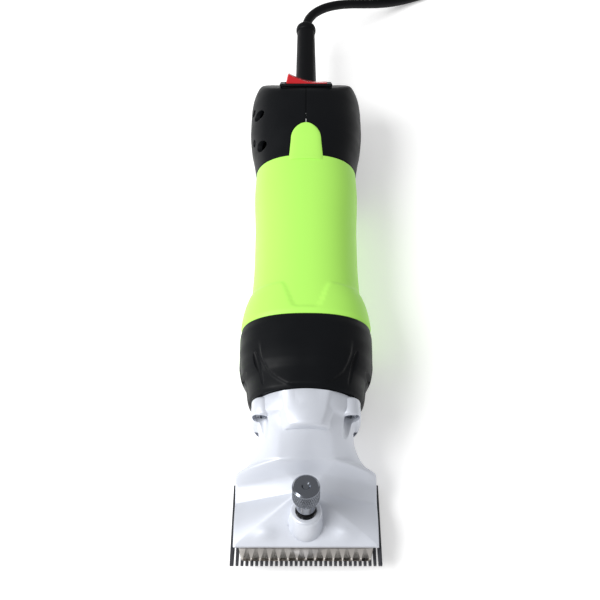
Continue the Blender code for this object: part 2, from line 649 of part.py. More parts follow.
ROLLER_ALONG = ROLLER_BACK * math.cos(HEAD_TILT) - (TIP_DROP - GEAR_CENTRES) * math.sin(HEAD_TILT)
ROLLER_OVER = ROLLER_BACK * math.sin(HEAD_TILT) + (TIP_DROP - GEAR_CENTRES) * math.cos(HEAD_TILT)
YOKE_LOW = ROLLER_OVER - CRANK_THROW - ROLLER_RADIUS
YOKE_FRONT = ROLLER_ALONG - 9.3 * MM
YOKE_SLOT = ROLLER_RADIUS + 2 * CRANK_THROW + 0.7 * MM
YOKE_HALF = YOKE_SLOT + FORK_TINE
FORK_SWING = math.atan(CRANK_THROW / (ROLLER_ALONG - FORK_PIVOT_BACK))


def head_casting():
    casting = skin("head_casting", [head_section(*s) for s in casting_sections()], AXIS, "casting")
    head = in_head()
    knob = in_head(CLAW_BACK)
    boss = [(0, PLATE_SIDE), (BOSS_RADIUS + 2 * MM, PLATE_SIDE), (BOSS_RADIUS + 2 * MM, BOSS_TOP - 7 * MM)]
    boss += [(BOSS_RADIUS, BOSS_TOP - 4.5 * MM), (BOSS_RADIUS, BOSS_TOP), (0, BOSS_TOP)]
    weld(casting, turned("knob_boss", boss, knob, None, 24))
    # Chamber over the cutter, open below
    back = CUTTER_BACK + 3.5 * MM
    chamber = []
    for along in (PLATE_EDGE + CASTING_WALL, back):
        ceiling = plate_height(along) - CASTING_WALL
        eaves = PLATE_SIDE - CASTING_WALL
        inner = HEAD_HALF_WIDTH - 3.4 * MM
        flat = max(HEAD_HALF_WIDTH * (FACET_BACK - along) / FACET_DEPTH - 3 * MM, MM)
        outline = [(-inner, -6 * MM), (inner, -6 * MM), (inner, eaves)]
        outline += [(flat, ceiling), (-flat, ceiling), (-inner, eaves)]
        chamber.append([(x, along, z) for x, z in outline])
    cut(casting, skin("cutter_chamber", chamber, head, None))
    wide = HEAD_HALF_WIDTH + 5 * MM
    under = CUTTER_TOP + 0.8 * MM
    cut(
        casting,
        block("cutter_sweep", (-wide, -5 * MM, -20 * MM), (wide, CUTTER_BACK + 2.5 * MM, under), head, None)
    )
    # Channel of the fork, from the chamber through the flange
    channel = []
    reach = YOKE_HALF + CRANK_THROW + MM
    for along, half, floor, top in (
        (back - 3 * MM, 12 * MM, -6 * MM, 14 * MM),
        (HEEL - 0.5 * MM, 12 * MM, -6 * MM, 18 * MM),
        (HEEL - 0.2 * MM, FORK_HUB_RADIUS + 2 * MM, FORK_HUB_LOW - MM, FORK_HUB_HIGH + MM),
        (FORK_PIVOT_BACK + 9 * MM, reach, FORK_HUB_LOW - MM, YOKE_LOW + 10 * MM),
        (YOKE_FRONT - MM, reach, YOKE_LOW - 1.6 * MM, ROLLER_OVER + 8 * MM),
        (ROLLER_ALONG + 14 * MM, reach, YOKE_LOW - MM, ROLLER_OVER + 14 * MM),
    ):
        channel.append([(-half, along, floor), (half, along, floor), (half, along, top), (-half, along, top)])
    cut(casting, skin("fork_channel", channel, head, None))
    cut(casting, rod("knob_bore", BOSS_BORE_RADIUS, PLATE_SIDE, BOSS_TOP + MM, knob, None, 24))
    post = in_head(FORK_PIVOT_BACK)
    cut(casting, rod("post_hole", FORK_POST_RADIUS + GAP, -MM, FORK_HUB_LOW, post, None))
    cut(casting, rod("post_head_seat", 5.6 * MM, -5 * MM, 3.6 * MM, post, None))
    for side in (-1, 1):
        hole = in_head(COMB_SCREW_BACK, 0, side * COMB_SCREW_OFFSET)
        radius = COMB_SCREW_RADIUS + GAP
        cut(casting, rod(f"comb_screw_tapping_{side}", radius, -MM, CUTTER_SOLE + 8 * MM, hole, None, 12))
    for name, place in head_screw_places():
        cut(casting, rod(
            name + "_hole", HEAD_SCREW_RADIUS + GAP, HEAD_LENGTH - 9 * MM, HEAD_LENGTH + MM, place, None, 12
        ))
        spot = HEAD_LENGTH - FLANGE_THICK
        cut(casting, rod(name + "_spot", 3.2 * MM + 2 * GAP, spot - 9 * MM, spot, place, None, 14))


# Comb, cutter, fork

def toothed(width, tip_share, back, teeth, depth, share, front=0.0):
    """Plan of a toothed plate, teeth forward.

    share is a tooth's root width over the pitch, and tip_share its tip width over its root width.
    """
    pitch = width / teeth
    root = front + depth
    points = [(width / 2, back), (-width / 2, back)]
    for i in range(teeth):
        middle = -width / 2 + pitch * (i + 0.5)
        half_root = pitch * share / 2
        half_tip = half_root * tip_share
        points += [(middle - half_root, root), (middle - half_tip, front)]
        points += [(middle + half_tip, front), (middle + half_root, root)]
    return points


def comb_gaps():
    """A bar ahead of the comb's tips with a finger reaching back into every gap between its teeth."""
    pitch = COMB_WIDTH / COMB_TEETH
    narrow = pitch * (1 - COMB_TOOTH_SHARE) / 2
    wide = pitch * (1 - COMB_TOOTH_SHARE * COMB_TIP_SHARE) / 2
    reach = COMB_WIDTH / 2 - pitch + wide
    points = [(reach, -3 * MM), (-reach, -3 * MM)]
    for i in range(1, COMB_TEETH):
        middle = pitch * i - COMB_WIDTH / 2
        points += [(middle - wide, -MM), (middle - narrow, COMB_TOOTH_LENGTH)]
        points += [(middle + narrow, COMB_TOOTH_LENGTH), (middle + wide, -MM)]
    return prism("comb_gaps", points, -MM, COMB_THICK + MM, in_head(), None)


def comb():
    edge_on = in_head() @ Matrix.Rotation(math.radians(90), 4, "Z") @ Matrix.Rotation(
        math.radians(90), 4, "X"
    )
    profile = [(0, COMB_THICK), (0, COMB_THICK * 0.5), (COMB_TOOTH_LENGTH, 0), (COMB_LENGTH, 0)]
    profile.append((COMB_LENGTH, COMB_THICK))
    plate = prism("comb", profile, -COMB_WIDTH / 2, COMB_WIDTH / 2, edge_on, "comb")
    cut(plate, comb_gaps())
    for side in (-1, 1):
        hole = in_head(COMB_SCREW_BACK, 0, side * COMB_SCREW_OFFSET)
        cut(plate, rod(f"comb_hole_{side}", COMB_SCREW_RADIUS + GAP, -MM, COMB_THICK + MM, hole, None, 12))
        screw = [(0, -2.2 * MM), (3.2 * MM, -2.2 * MM), (4.0 * MM, -1.2 * MM), (4.0 * MM, -GAP)]
        screw += [
            (COMB_SCREW_RADIUS, -GAP), (COMB_SCREW_RADIUS, CUTTER_SOLE + 7 * MM), (0, CUTTER_SOLE + 7 * MM)
        ]
        turned("comb_screw_" + ("left" if side < 0 else "right"), screw, hole, "steel", 14)


def cutter():
    frame = in_head()
    outline = toothed(
        CUTTER_WIDTH, 0.16, CUTTER_BACK, CUTTER_TEETH, CUTTER_TOOTH_LENGTH, 0.96, CUTTER_SETBACK
    )
    plate = prism("cutter", outline, CUTTER_SOLE, CUTTER_TOP, frame, "cutter")
    for side in (-1, 1):
        hole = in_head(CLAW_BACK, 0, side * CLAW_SPREAD)
        cut(plate, rod(f"claw_socket_{side}", CLAW_RADIUS + GAP, 0, CUTTER_TOP + MM, hole, None, 12))
    centre_on(plate, in_head(FORK_PIVOT_BACK))


def centre_on(obj, frame):
    """Moves an object's origin to a frame without moving its shape."""
    obj.data.transform(frame.inverted() @ obj.matrix_world)
    obj.matrix_world = frame


def drive_fork():
    pivot = in_head(FORK_PIVOT_BACK)
    fork = rod("drive_fork", FORK_HUB_RADIUS, FORK_HUB_LOW, FORK_HUB_HIGH, pivot, "steel", 24)
    aside = in_head() @ Matrix(((0, 0, 1, 0), (1, 0, 0, 0), (0, 1, 0, 0), (0, 0, 0, 1)))
    rear = [(FORK_PIVOT_BACK + 3 * MM, FORK_HUB_LOW + 2.4 * MM), (YOKE_FRONT + 2 * MM, YOKE_LOW + MM)]
    rear += [(YOKE_FRONT + 2 * MM, YOKE_LOW + 8 * MM), (FORK_PIVOT_BACK + 3 * MM, FORK_HUB_HIGH - MM)]
    front = [(FORK_PIVOT_BACK - 3 * MM, FORK_HUB_HIGH - 2 * MM), (CLAW_BACK + 12 * MM, 13 * MM)]
    front += [(CLAW_BACK + 4 * MM, 10.8 * MM), (CLAW_BACK - 1.5 * MM, 10.8 * MM)]
    front += [(CLAW_BACK - 1.5 * MM, 7.3 * MM), (CLAW_BACK + 4 * MM, 7.3 * MM)]
    front += [(FORK_PIVOT_BACK - 3 * MM, FORK_HUB_LOW + 0.6 * MM)]
    weld(fork, prism("fork_rear_arm", rear, -5 * MM, 5 * MM, aside, None))
    weld(fork, prism("fork_front_arm", front, -6.5 * MM, 6.5 * MM, aside, None))
    bar_half = CLAW_SPREAD + 3.5 * MM
    bar = ((-bar_half, CLAW_BACK - 3 * MM, 7.0 * MM), (bar_half, CLAW_BACK + 3 * MM, 9.8 * MM))
    weld(fork, block("fork_crossbar", *bar, in_head(), None))
    for side in (-1, 1):
        claw = in_head(CLAW_BACK, 0, side * CLAW_SPREAD)
        weld(fork, rod(f"claw_{side}", CLAW_RADIUS, CUTTER_SOLE + MM, 8 * MM, claw, None, 12))
    yoke_high = ROLLER_OVER + 5 * MM
    yoke = ((-YOKE_HALF, YOKE_FRONT, YOKE_LOW), (YOKE_HALF, ROLLER_ALONG + 4 * MM, yoke_high))
    weld(fork, block("fork_yoke", *yoke, in_head(), None))
    slot_front = YOKE_FRONT + FORK_TINE
    slot = ((-YOKE_SLOT, slot_front, YOKE_LOW - MM), (YOKE_SLOT, ROLLER_ALONG + 9 * MM, yoke_high + MM))
    cut(fork, block("fork_slot", *slot, in_head(), None))
    cut(fork, rod("fork_bore", FORK_POST_RADIUS + GAP, 0, FORK_HUB_HIGH + MM, pivot, None, 24))
    post = [(0, 1.6 * MM), (5.2 * MM, 1.6 * MM), (5.2 * MM, 3.3 * MM), (FORK_POST_RADIUS, 3.3 * MM)]
    post += [(FORK_POST_RADIUS, FORK_HUB_HIGH + 0.8 * MM), (0, FORK_HUB_HIGH + 0.8 * MM)]
    turned("fork_post", post, pivot, "steel", 20)


# Tension knob

WASHER_TOP = KNOB_STAND - 7.5 * MM


def tension_gear():
    axis = in_head(CLAW_BACK)
    shoulder = KNOB_STAND + KNOB_NECK_HEIGHT
    top = shoulder + KNOB_GRIP_HEIGHT
    grip = KNOB_RADIUS
    profile = [(0, WASHER_TOP + GAP), (KNOB_SHAFT_RADIUS, WASHER_TOP + GAP), (KNOB_SHAFT_RADIUS, KNOB_STAND)]
    profile += [(KNOB_NECK_RADIUS, KNOB_STAND), (KNOB_NECK_RADIUS, shoulder), (grip - 0.9 * MM, shoulder)]
    profile += [(grip, shoulder + MM), (grip, top - 1.2 * MM), (grip - 1.1 * MM, top)]
    profile += [(2.2 * MM, top), (1.4 * MM, top - 1.0 * MM), (0, top - 1.0 * MM)]
    turned("tension_knob", profile, axis, "chrome", 32)
    ring(
        "knob_o_ring", KNOB_SHAFT_RADIUS + RUNNING_GAP, 5.0 * MM, BOSS_TOP + GAP, BOSS_TOP + 1.9 * MM, axis,
        "rubber"
    )
    rod("tension_washer", BOSS_BORE_RADIUS - RUNNING_GAP, WASHER_TOP - 1.4 * MM, WASHER_TOP, axis, "steel")
    cap_top = 13.0 * MM
    rod("pressure_cap", BOSS_BORE_RADIUS - RUNNING_GAP, 11.1 * MM, cap_top, axis, "steel")
    coil_spring(
        "tension_spring", 4.0 * MM, 0.45 * MM, cap_top + 1.9 * MM, WASHER_TOP - 1.4 * MM - GAP, 2, axis
    )


def coil_spring(name, radius, wire, low, high, turns, frame):
    """A wire helix about the frame's Z that fills the height from low to high."""
    steps = 12 * turns
    curve = bpy.data.curves.new(name, "CURVE")
    curve.dimensions = "3D"
    curve.bevel_depth = wire
    curve.bevel_resolution = 0
    curve.use_fill_caps = True
    spline = curve.splines.new("POLY")
    spline.points.add(steps)
    for i, point in enumerate(spline.points):
        angle = math.tau * turns * i / steps
        height = low + wire + (high - low - 2 * wire) * i / steps
        point.co = (radius * math.cos(angle), radius * math.sin(angle), height, 1)
    curve.materials.append(finish_of(name, "steel"))
    made = bpy.data.objects.new(name, curve)
    bpy.context.scene.collection.objects.link(made)
    made.matrix_world = frame


# Gear train and crank

def gear_outline(teeth, phase):
    """A spur gear's outline with straight flanks, one tooth at the phase."""
    pitch_radius = GEAR_MODULE * teeth / 2
    tip = pitch_radius + 0.85 * GEAR_MODULE
    root = pitch_radius - 1.15 * GEAR_MODULE
    step = math.tau / teeth
    points = []
    for i in range(teeth):
        middle = phase + step * i
        for radius, share in ((root, -0.40), (tip, -0.11), (tip, 0.11), (root, 0.40)):
            angle = middle + step * share
            points.append((radius * math.cos(angle), radius * math.sin(angle)))
    return points


def crank_drive():
    motor = on_axis(0.0) @ BACKWARDS
    crank = on_axis(0.0, -GEAR_CENTRES) @ BACKWARDS
    low = GEAR_REAR - GEAR_WIDTH
    # In this frame +Y points down, so the wheels mesh on the line from the motor axis towards +Y
    teeth = gear_outline(GEAR_TEETH, -math.pi / 2 + math.pi / GEAR_TEETH)
    wheel = prism("crank_gear", teeth, low, GEAR_REAR, crank, "bakelite")
    cut(wheel, rod("crank_gear_bore", CRANK_SHAFT_RADIUS + GAP, 0, COVER_REAR, crank, None))
    web_rear = CASE_FRONT - 0.5 * MM
    web_front = web_rear - 5.0 * MM
    plate_seat = PLATE_REAR - GAP
    profile = [(0, web_front), (CRANK_WEB_RADIUS, web_front), (CRANK_WEB_RADIUS, web_rear)]
    profile += [(CRANK_SHAFT_RADIUS, web_rear), (CRANK_SHAFT_RADIUS, plate_seat), (0, plate_seat)]
    shaft = turned("crank_shaft", profile, crank, "steel")
    offset = Matrix.Translation((0, -CRANK_THROW, 0))
    pin_front = ROLLER_BACK - ROLLER_WIDTH / 2 - 0.8 * MM
    weld(shaft, rod("crank_pin", CRANK_PIN_RADIUS, pin_front, web_rear - MM, crank @ offset, None, 16))
    roller = ring(
        "crank_roller",
        CRANK_PIN_RADIUS + GAP,
        ROLLER_RADIUS,
        ROLLER_BACK - ROLLER_WIDTH / 2,
        ROLLER_BACK + ROLLER_WIDTH / 2,
        crank @ offset,
        "steel",
    )
    centre_on(roller, crank)
    seat = CASE_FRONT + GAP
    ring(
        "crank_bearing", CRANK_SHAFT_RADIUS + GAP, CRANK_BEARING_RADIUS, seat, seat + BEARING_WIDTH, crank,
        "steel"
    )
    ring(
        "crank_bush", CRANK_SHAFT_RADIUS + GAP, CRANK_BUSH_RADIUS, HOUSING_FRONT + MM, PLATE_REAR, crank,
        "bronze", 20
    )
    # Bearing plate between the gears and the motor
    plate = skin(
        "bearing_plate", hoops(HOUSING, SHELL_WALL + GAP, HOUSING_FRONT + MM, PLATE_REAR), AXIS, "casting"
    )
    low, high = (HOUSING_FRONT, PLATE_REAR + MM)
    cut(plate, rod("plate_motor_seat", MOTOR_BEARING_RADIUS + GAP, low, high, motor, None))
    cut(plate, rod("plate_crank_seat", CRANK_BUSH_RADIUS + GAP, low, high, crank, None))
    for side in (-1, 1):
        vent = on_axis(0.0, 6 * MM, side * 19 * MM) @ BACKWARDS
        cut(plate, rod(f"plate_vent_{side}", 6 * MM, low, high, vent, None, 16))


# Motor

def arc_wall(inner, outer, spread, steps=10):
    """Outline of a ring sector about +X, spread either side of it."""
    turns = [spread * (2 * i / steps - 1) for i in range(steps + 1)]
    far = [(outer * math.cos(turn), outer * math.sin(turn)) for turn in turns]
    near = [(inner * math.cos(turn), inner * math.sin(turn)) for turn in turns[::-1]]
    return far + near


SHOE_OUTER = BORE_RADIUS + POLE_SHOE
COIL_INNER = SHOE_OUTER + GAP
COIL_OUTER = COIL_INNER + COIL_THICK
STATOR_HALF_WIDTH = HOUSING_HALF_WIDTH - SHELL_WALL - GAP
STATOR_HALF_HEIGHT = HOUSING_TOP - SHELL_WALL - GAP


def stator():
    motor = on_axis(0.0) @ BACKWARDS
    size = (STATOR_HALF_WIDTH, STATOR_HALF_HEIGHT, STATOR_HALF_HEIGHT)
    outer = [hoop(back, oval(*size)) for back in (STATOR_FRONT, STATOR_REAR)]
    inner = [hoop(back, oval(*size, STATOR_RING)) for back in (STATOR_FRONT, STATOR_REAR)]
    core = shell("stator_core", outer, inner, AXIS, "laminate")
    for side, hand in ((-1, "left"), (1, "right")):
        facing = motor @ Matrix.Rotation(0 if side > 0 else math.pi, 4, "Z")
        neck = (
            (SHOE_OUTER - 0.8 * MM, -9 * MM, STATOR_FRONT),
            (STATOR_HALF_WIDTH - STATOR_RING / 2, 9 * MM, STATOR_REAR),
        )
        pole = block(f"pole_{hand}", *neck, facing, None)
        face = arc_wall(BORE_RADIUS, SHOE_OUTER, math.radians(58))
        shoe = prism(f"pole_shoe_{hand}", face, STATOR_FRONT, STATOR_REAR, facing, None)
        weld(core, pole, shoe)
        reach = 6.0 * MM
        coil = prism(
            f"field_coil_{hand}",
            arc_wall(COIL_INNER, COIL_OUTER, math.radians(63)),
            STATOR_FRONT - reach,
            STATOR_REAR + reach,
            facing,
            "copper",
        )
        window = arc_wall(COIL_INNER - 2 * MM, COIL_OUTER + 2 * MM, math.radians(43))
        cut(coil, prism(f"coil_window_{hand}", window, STATOR_FRONT - MM, STATOR_REAR + MM, facing, None))


def armature():
    motor = on_axis(0.0) @ BACKWARDS
    pinion_front = GEAR_REAR - GEAR_WIDTH
    radius = MOTOR_SHAFT_RADIUS
    core_radius = BORE_RADIUS - AIR_GAP
    shaft = rod("armature_shaft", radius, GEAR_REAR + 0.6 * MM, BRACKET_REAR - MM, motor, "steel")
    pinion = prism(
        "pinion", gear_outline(PINION_TEETH, math.pi / 2), pinion_front, GEAR_REAR + MM, motor, None
    )
    weld(shaft, pinion)
    bore = radius + GAP
    core = ring("armature_core", bore, core_radius, STATOR_FRONT, STATOR_REAR, motor, "laminate", 32)
    for number in range(8):
        turn = motor @ Matrix.Rotation(math.tau * (number + 0.5) / 8, 4, "Z")
        slot = (
            (core_radius - 1.6 * MM, -0.9 * MM, STATOR_FRONT - MM),
            (core_radius + MM, 0.9 * MM, STATOR_REAR + MM)
        )
        cut(core, block(f"armature_slot_{number}", *slot, turn, None))
    wound = core_radius - 1.0 * MM
    for name, low, high in (
        ("armature_winding_front", STATOR_FRONT - 9 * MM, STATOR_FRONT - GAP),
        ("armature_winding_rear", STATOR_REAR + GAP, STATOR_REAR + 9 * MM),
    ):
        edge = 2.5 * MM
        profile = [
            (bore, low), (wound - edge, low), (wound, low + edge), (wound, high - edge), (wound - edge, high)
        ]
        turned(name, profile + [(bore, high)], motor, "copper", 24, closed=True)
    ring("commutator", bore, COMMUTATOR_RADIUS, COMMUTATOR_FRONT, COMMUTATOR_REAR, motor, "copper", 24)
    fan_low = HOUSING_FRONT + FAN_FROM_FRONT
    hub = ring("cooling_fan", bore, 7 * MM, fan_low, fan_low + FAN_LENGTH, motor, "bakelite", 24)
    fan_radius = HOUSING_TOP - SHELL_WALL - MM
    disc = ring("fan_disc", 6 * MM, fan_radius, fan_low, fan_low + 1.6 * MM, motor, None, 32)
    weld(hub, disc)
    for number in range(FAN_BLADES):
        turn = motor @ Matrix.Rotation(math.tau * number / FAN_BLADES, 4, "Z")
        blade = (
            (6.5 * MM, -0.6 * MM, fan_low + MM),
            (fan_radius - 0.4 * MM, 0.6 * MM, fan_low + FAN_LENGTH - 0.5 * MM)
        )
        weld(hub, block(f"fan_blade_{number}", *blade, turn, None))
    low = HOUSING_FRONT + 1.5 * MM
    ring("armature_bearing_front", bore, MOTOR_BEARING_RADIUS, low, low + BEARING_WIDTH, motor, "steel")
    low = BRACKET_REAR - BEARING_WIDTH - MM
    ring("armature_bearing_rear", bore, MOTOR_BEARING_RADIUS, low, low + BEARING_WIDTH, motor, "steel")


def bearing_bracket():
    """Rear end shield of the motor, held where the housing meets the rear covers."""
    motor = on_axis(0.0) @ BACKWARDS
    size = (STATOR_HALF_WIDTH, STATOR_HALF_HEIGHT - 0.6 * MM, STATOR_HALF_HEIGHT)
    rings = [hoop(back, oval(*size)) for back in (BRACKET_FRONT, BRACKET_FRONT + 4 * MM)]
    shield = skin("bearing_bracket", rings, AXIS, "bakelite")
    hub = MOTOR_BEARING_RADIUS + 3 * MM
    weld(shield, rod("bracket_hub", hub, BRACKET_FRONT + MM, BRACKET_REAR, motor, None, 24))
    cut(shield, rod(
        "bracket_seat", MOTOR_BEARING_RADIUS + GAP, BRACKET_FRONT - MM, BRACKET_REAR + MM, motor, None, 24
    ))
    for side in (-1, 1):
        window = ((-6 * MM, 12.5 * MM, BRACKET_FRONT - MM), (6 * MM, 18 * MM, BRACKET_FRONT + 6 * MM))
        turn = motor @ Matrix.Rotation(0 if side > 0 else math.pi, 4, "Z")
        cut(shield, block(f"bracket_window_{side}", *window, turn, None))


def brush_gear():
    middle = (COMMUTATOR_FRONT + BRACKET_FRONT) / 2 - 0.3 * MM
    along, up = (size / 2 for size in BRUSH_SECTION)
    reach = HOUSING_HALF_WIDTH - SHELL_WALL - MM
    for side, hand in ((-1, "left"), (1, "right")):
        frame = on_axis(middle) @ Matrix.Rotation(0 if side > 0 else math.pi, 4, "Z")
        wall = BRUSH_TUBE_WALL + GAP
        near = COMMUTATOR_RADIUS + 1.5 * MM
        outer = ((near, -along - wall, -up - wall), (reach, along + wall, up + wall))
        tube = block(f"brush_holder_{hand}", *outer, frame, "brass")
        bore = ((near - MM, -along - GAP, -up - GAP), (reach - MM, along + GAP, up + GAP))
        cut(tube, block(f"brush_bore_{hand}", *bore, frame, None))
        face = COMMUTATOR_RADIUS + GAP
        block(f"brush_{hand}", (face, -along, -up), (face + 7.5 * MM, along, up), frame, "carbon")
        sideways_frame = frame @ Matrix.Rotation(math.radians(90), 4, "Y")
        coil_spring(
            f"brush_spring_{hand}", 1.8 * MM, 0.3 * MM, face + 7.8 * MM, reach - 1.3 * MM, 3, sideways_frame
        )


# Switch, strain relief and mains lead

def rocker_switch():
    half_x, half_y = SWITCH_BODY[0] / 2, SWITCH_BODY[1] / 2
    body = block(
        "switch_body", (-half_x, -half_y, -SWITCH_BODY[2]), (half_x, half_y, 0.6 * MM), SLOPE, "black"
    )
    brim = ((-BEZEL[0] / 2, -BEZEL[1] / 2, GAP), (BEZEL[0] / 2, BEZEL[1] / 2, GAP + BEZEL[2]))
    weld(body, block("switch_bezel", *brim, SLOPE, None))
    well_x = ROCKER_HALF_LENGTH + 0.6 * MM
    well_y = ROCKER_WIDTH / 2 + RUNNING_GAP
    cut(body, block("switch_well", (-well_x, -well_y, -7 * MM), (well_x, well_y, 9 * MM), SLOPE, None))
    length = ROCKER_HALF_LENGTH
    level = [(-length + 0.6 * MM, 5.2 * MM), (-length, 0), (-length * 0.86, -1.5 * MM), (-4 * MM, -4.4 * MM)]
    level += [(-x, z) for x, z in level[::-1]]
    level += [(4 * MM, 3.4 * MM), (0, 3.2 * MM), (-4 * MM, 3.4 * MM)]
    # The prism runs along the slope, so its outline lies in X and the slope's normal
    upright = SLOPE @ Matrix.Rotation(math.radians(90), 4, "X") @ Matrix.Rotation(-ROCKER_TILT, 4, "Z")
    prism("power_rocker", level, -ROCKER_WIDTH / 2, ROCKER_WIDTH / 2, upright, "red")


def strain_relief():
    frame = on_axis(COVER_REAR, -RELIEF_DROP) @ BACKWARDS
    bore = CORD_DIAMETER / 2 + RELIEF_BORE_GAP
    base = RELIEF_RADIUS
    tip = RELIEF_TIP_RADIUS
    end = RELIEF_LENGTH
    inside = SHELL_WALL + GAP
    profile = [(base + 1.9 * MM, -inside - 3 * MM), (base + 1.9 * MM, -inside), (base + 0.4 * MM, -inside)]
    profile += [
        (base + 0.4 * MM, 2 * MM), (base, 5 * MM), (tip, end - 6 * MM), (tip + 0.5 * MM, end - 3 * MM)
    ]
    profile += [(tip + 0.5 * MM, end - 1.2 * MM), (tip, end), (bore + 0.6 * MM, end), (bore, end - MM)]
    turned("strain_relief", profile + [(bore, -inside - 3 * MM)], frame, "rubber", 24, closed=True)


def smooth_route(points, count):
    """Points at even steps along a Catmull-Rom curve through the route's own points."""
    ends = [points[0] * 2 - points[1]] + points + [points[-1] * 2 - points[-2]]
    fine = []
    for i in range(len(points) - 1):
        a, b, c, d = ends[i : i + 4]
        for step in range(40):
            t = step / 40
            fine.append(
                0.5 * (
                    2 * b + (c - a) * t + (2 * a - 5 * b + 4 * c - d) * t**2 + (3 * b - a - 3 * c + d) * t**3
                )
            )
    fine.append(points[-1])
    travelled = [0.0]
    for a, b in zip(fine, fine[1:]):
        travelled.append(travelled[-1] + (b - a).length)
    route = []
    place = 0
    for i in range(count):
        target = travelled[-1] * i / (count - 1)
        while place < len(fine) - 2 and travelled[place + 1] < target:
            place += 1
        share = (target - travelled[place]) / (travelled[place + 1] - travelled[place])
        route.append(fine[place].lerp(fine[place + 1], share))
    return route


def lead(name, points, count):
    """A stretch of the mains lead along its route's points."""
    curve = bpy.data.curves.new(name, "CURVE")
    curve.dimensions = "3D"
    curve.bevel_depth = CORD_DIAMETER / 2
    curve.bevel_resolution = 3
    curve.use_fill_caps = True
    spline = curve.splines.new("POLY")
    route = smooth_route([Vector(point) * MM for point in points], count)
    spline.points.add(len(route) - 1)
    for point, place in zip(spline.points, route):
        point.co = (*place, 1)
    curve.materials.append(finish_of(name, "rubber"))
    made = bpy.data.objects.new(name, curve)
    bpy.context.scene.collection.objects.link(made)


# The lead's route in millimetres: out of the relief, down to the table and round to the coil
LEAD_ROUTE = (
    (0.0, 165.9, 29.5), (0.0, 171.5, 29.5), (0.3, 177.5, 29.4), (2.0, 184.0, 29.0), (6.0, 190.5, 28.2),
    (12.5, 196.5, 26.8), (20.5, 201.5, 24.6), (29.5, 206.0, 21.4), (39.0, 210.5, 17.2), (48.5, 215.5, 12.6),
    (58.0, 221.0, 8.3), (67.5, 226.5, 5.2), (77.0, 231.5, 3.6), (86.5, 236.0, 3.1), (95.5, 240.1, 3.05),
)
# From the coil's top layer round to the plug that lies on it
TAIL_ROUTE = (
    (42.0, 289.5, 25.9), (41.2, 283.3, 26.3), (42.0, 277.1, 27.0), (44.4, 271.3, 27.9),
    (48.0, 266.2, 28.9), (52.8, 262.0, 29.8), (58.6, 259.7, 30.5), (65.2, 259.3, 30.8),
)


def mains_lead():
    lead("cord_run", LEAD_ROUTE, 12)
    lead("cord_tail", TAIL_ROUTE, 11)
    half = COIL_TURNS_ACROSS * CORD_DIAMETER / 2
    inner, outer = (COIL_MEAN_RADIUS - half, COIL_MEAN_RADIUS + half)
    top = CORD_DIAMETER + COIL_LAYER_PITCH * (COIL_LAYERS - 1)
    round_off = CORD_DIAMETER / 3
    profile = [(outer - round_off, 0), (outer, round_off), (outer, top - round_off), (outer - round_off, top)]
    profile += [
        (inner + round_off, top), (inner, top - round_off), (inner, round_off), (inner + round_off, 0)
    ]
    middle = Matrix.Translation((*COIL_CENTRE, 0))
    turned("cord_coil", profile, middle, "rubber", 28, closed=True)
    plug(top)


def plug(resting_height):
    """Generic two-pin plug, lying on the coil with its pins along +X."""
    end = Vector(TAIL_ROUTE[-1]) * MM
    entry = Matrix.Translation((end.x + 2 * GAP, end.y, resting_height + GAP + PLUG_THICK / 2))
    along = entry @ Matrix.Rotation(math.radians(90), 4, "Y")
    half = PLUG_WIDTH / 2
    body = PLUG_RELIEF_LENGTH
    front = body + PLUG_LENGTH
    outline = [(body, -5 * MM), (body + 9 * MM, -half), (front - 2 * MM, -half), (front, 2 * MM - half)]
    outline += [(x, -y) for x, y in outline[::-1]]
    shape = prism("plug_body", outline, -PLUG_THICK / 2, PLUG_THICK / 2, entry, "black")
    relief = [(0, 0), (CORD_DIAMETER / 2 + MM, 0), (5.4 * MM, body + MM), (0, body + MM)]
    weld(shape, turned("plug_relief", relief, along, None, 16))
    for side, hand in ((-1, "left"), (1, "right")):
        place = along @ Matrix.Translation((0, side * PIN_SPACING / 2, 0))
        profile = [(0, front + GAP), (PIN_RADIUS, front + GAP), (PIN_RADIUS, front + PIN_LENGTH - 1.2 * MM)]
        profile += [(PIN_RADIUS - MM, front + PIN_LENGTH), (0, front + PIN_LENGTH)]
        turned(f"plug_pin_{hand}", profile, place, "brass", 12)


def main():
    for obj in list(bpy.data.objects):
        bpy.data.objects.remove(obj)
    motor_housing()
    rear_cover("rear_cover_left", -1)
    rear_cover("rear_cover_right", 1)
    cover_screws()
    gear_collar()
    gear_case()
    head_casting()
    head_screws()
    comb()
    cutter()
    drive_fork()
    tension_gear()
    crank_drive()
    stator()
    armature()
    bearing_bracket()
    brush_gear()
    rocker_switch()
    strain_relief()
    mains_lead()


main()
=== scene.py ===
"""Electric sheep shears: the looks of each piece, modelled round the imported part."""

import json
import math

import bpy
from mathutils import Matrix, Vector


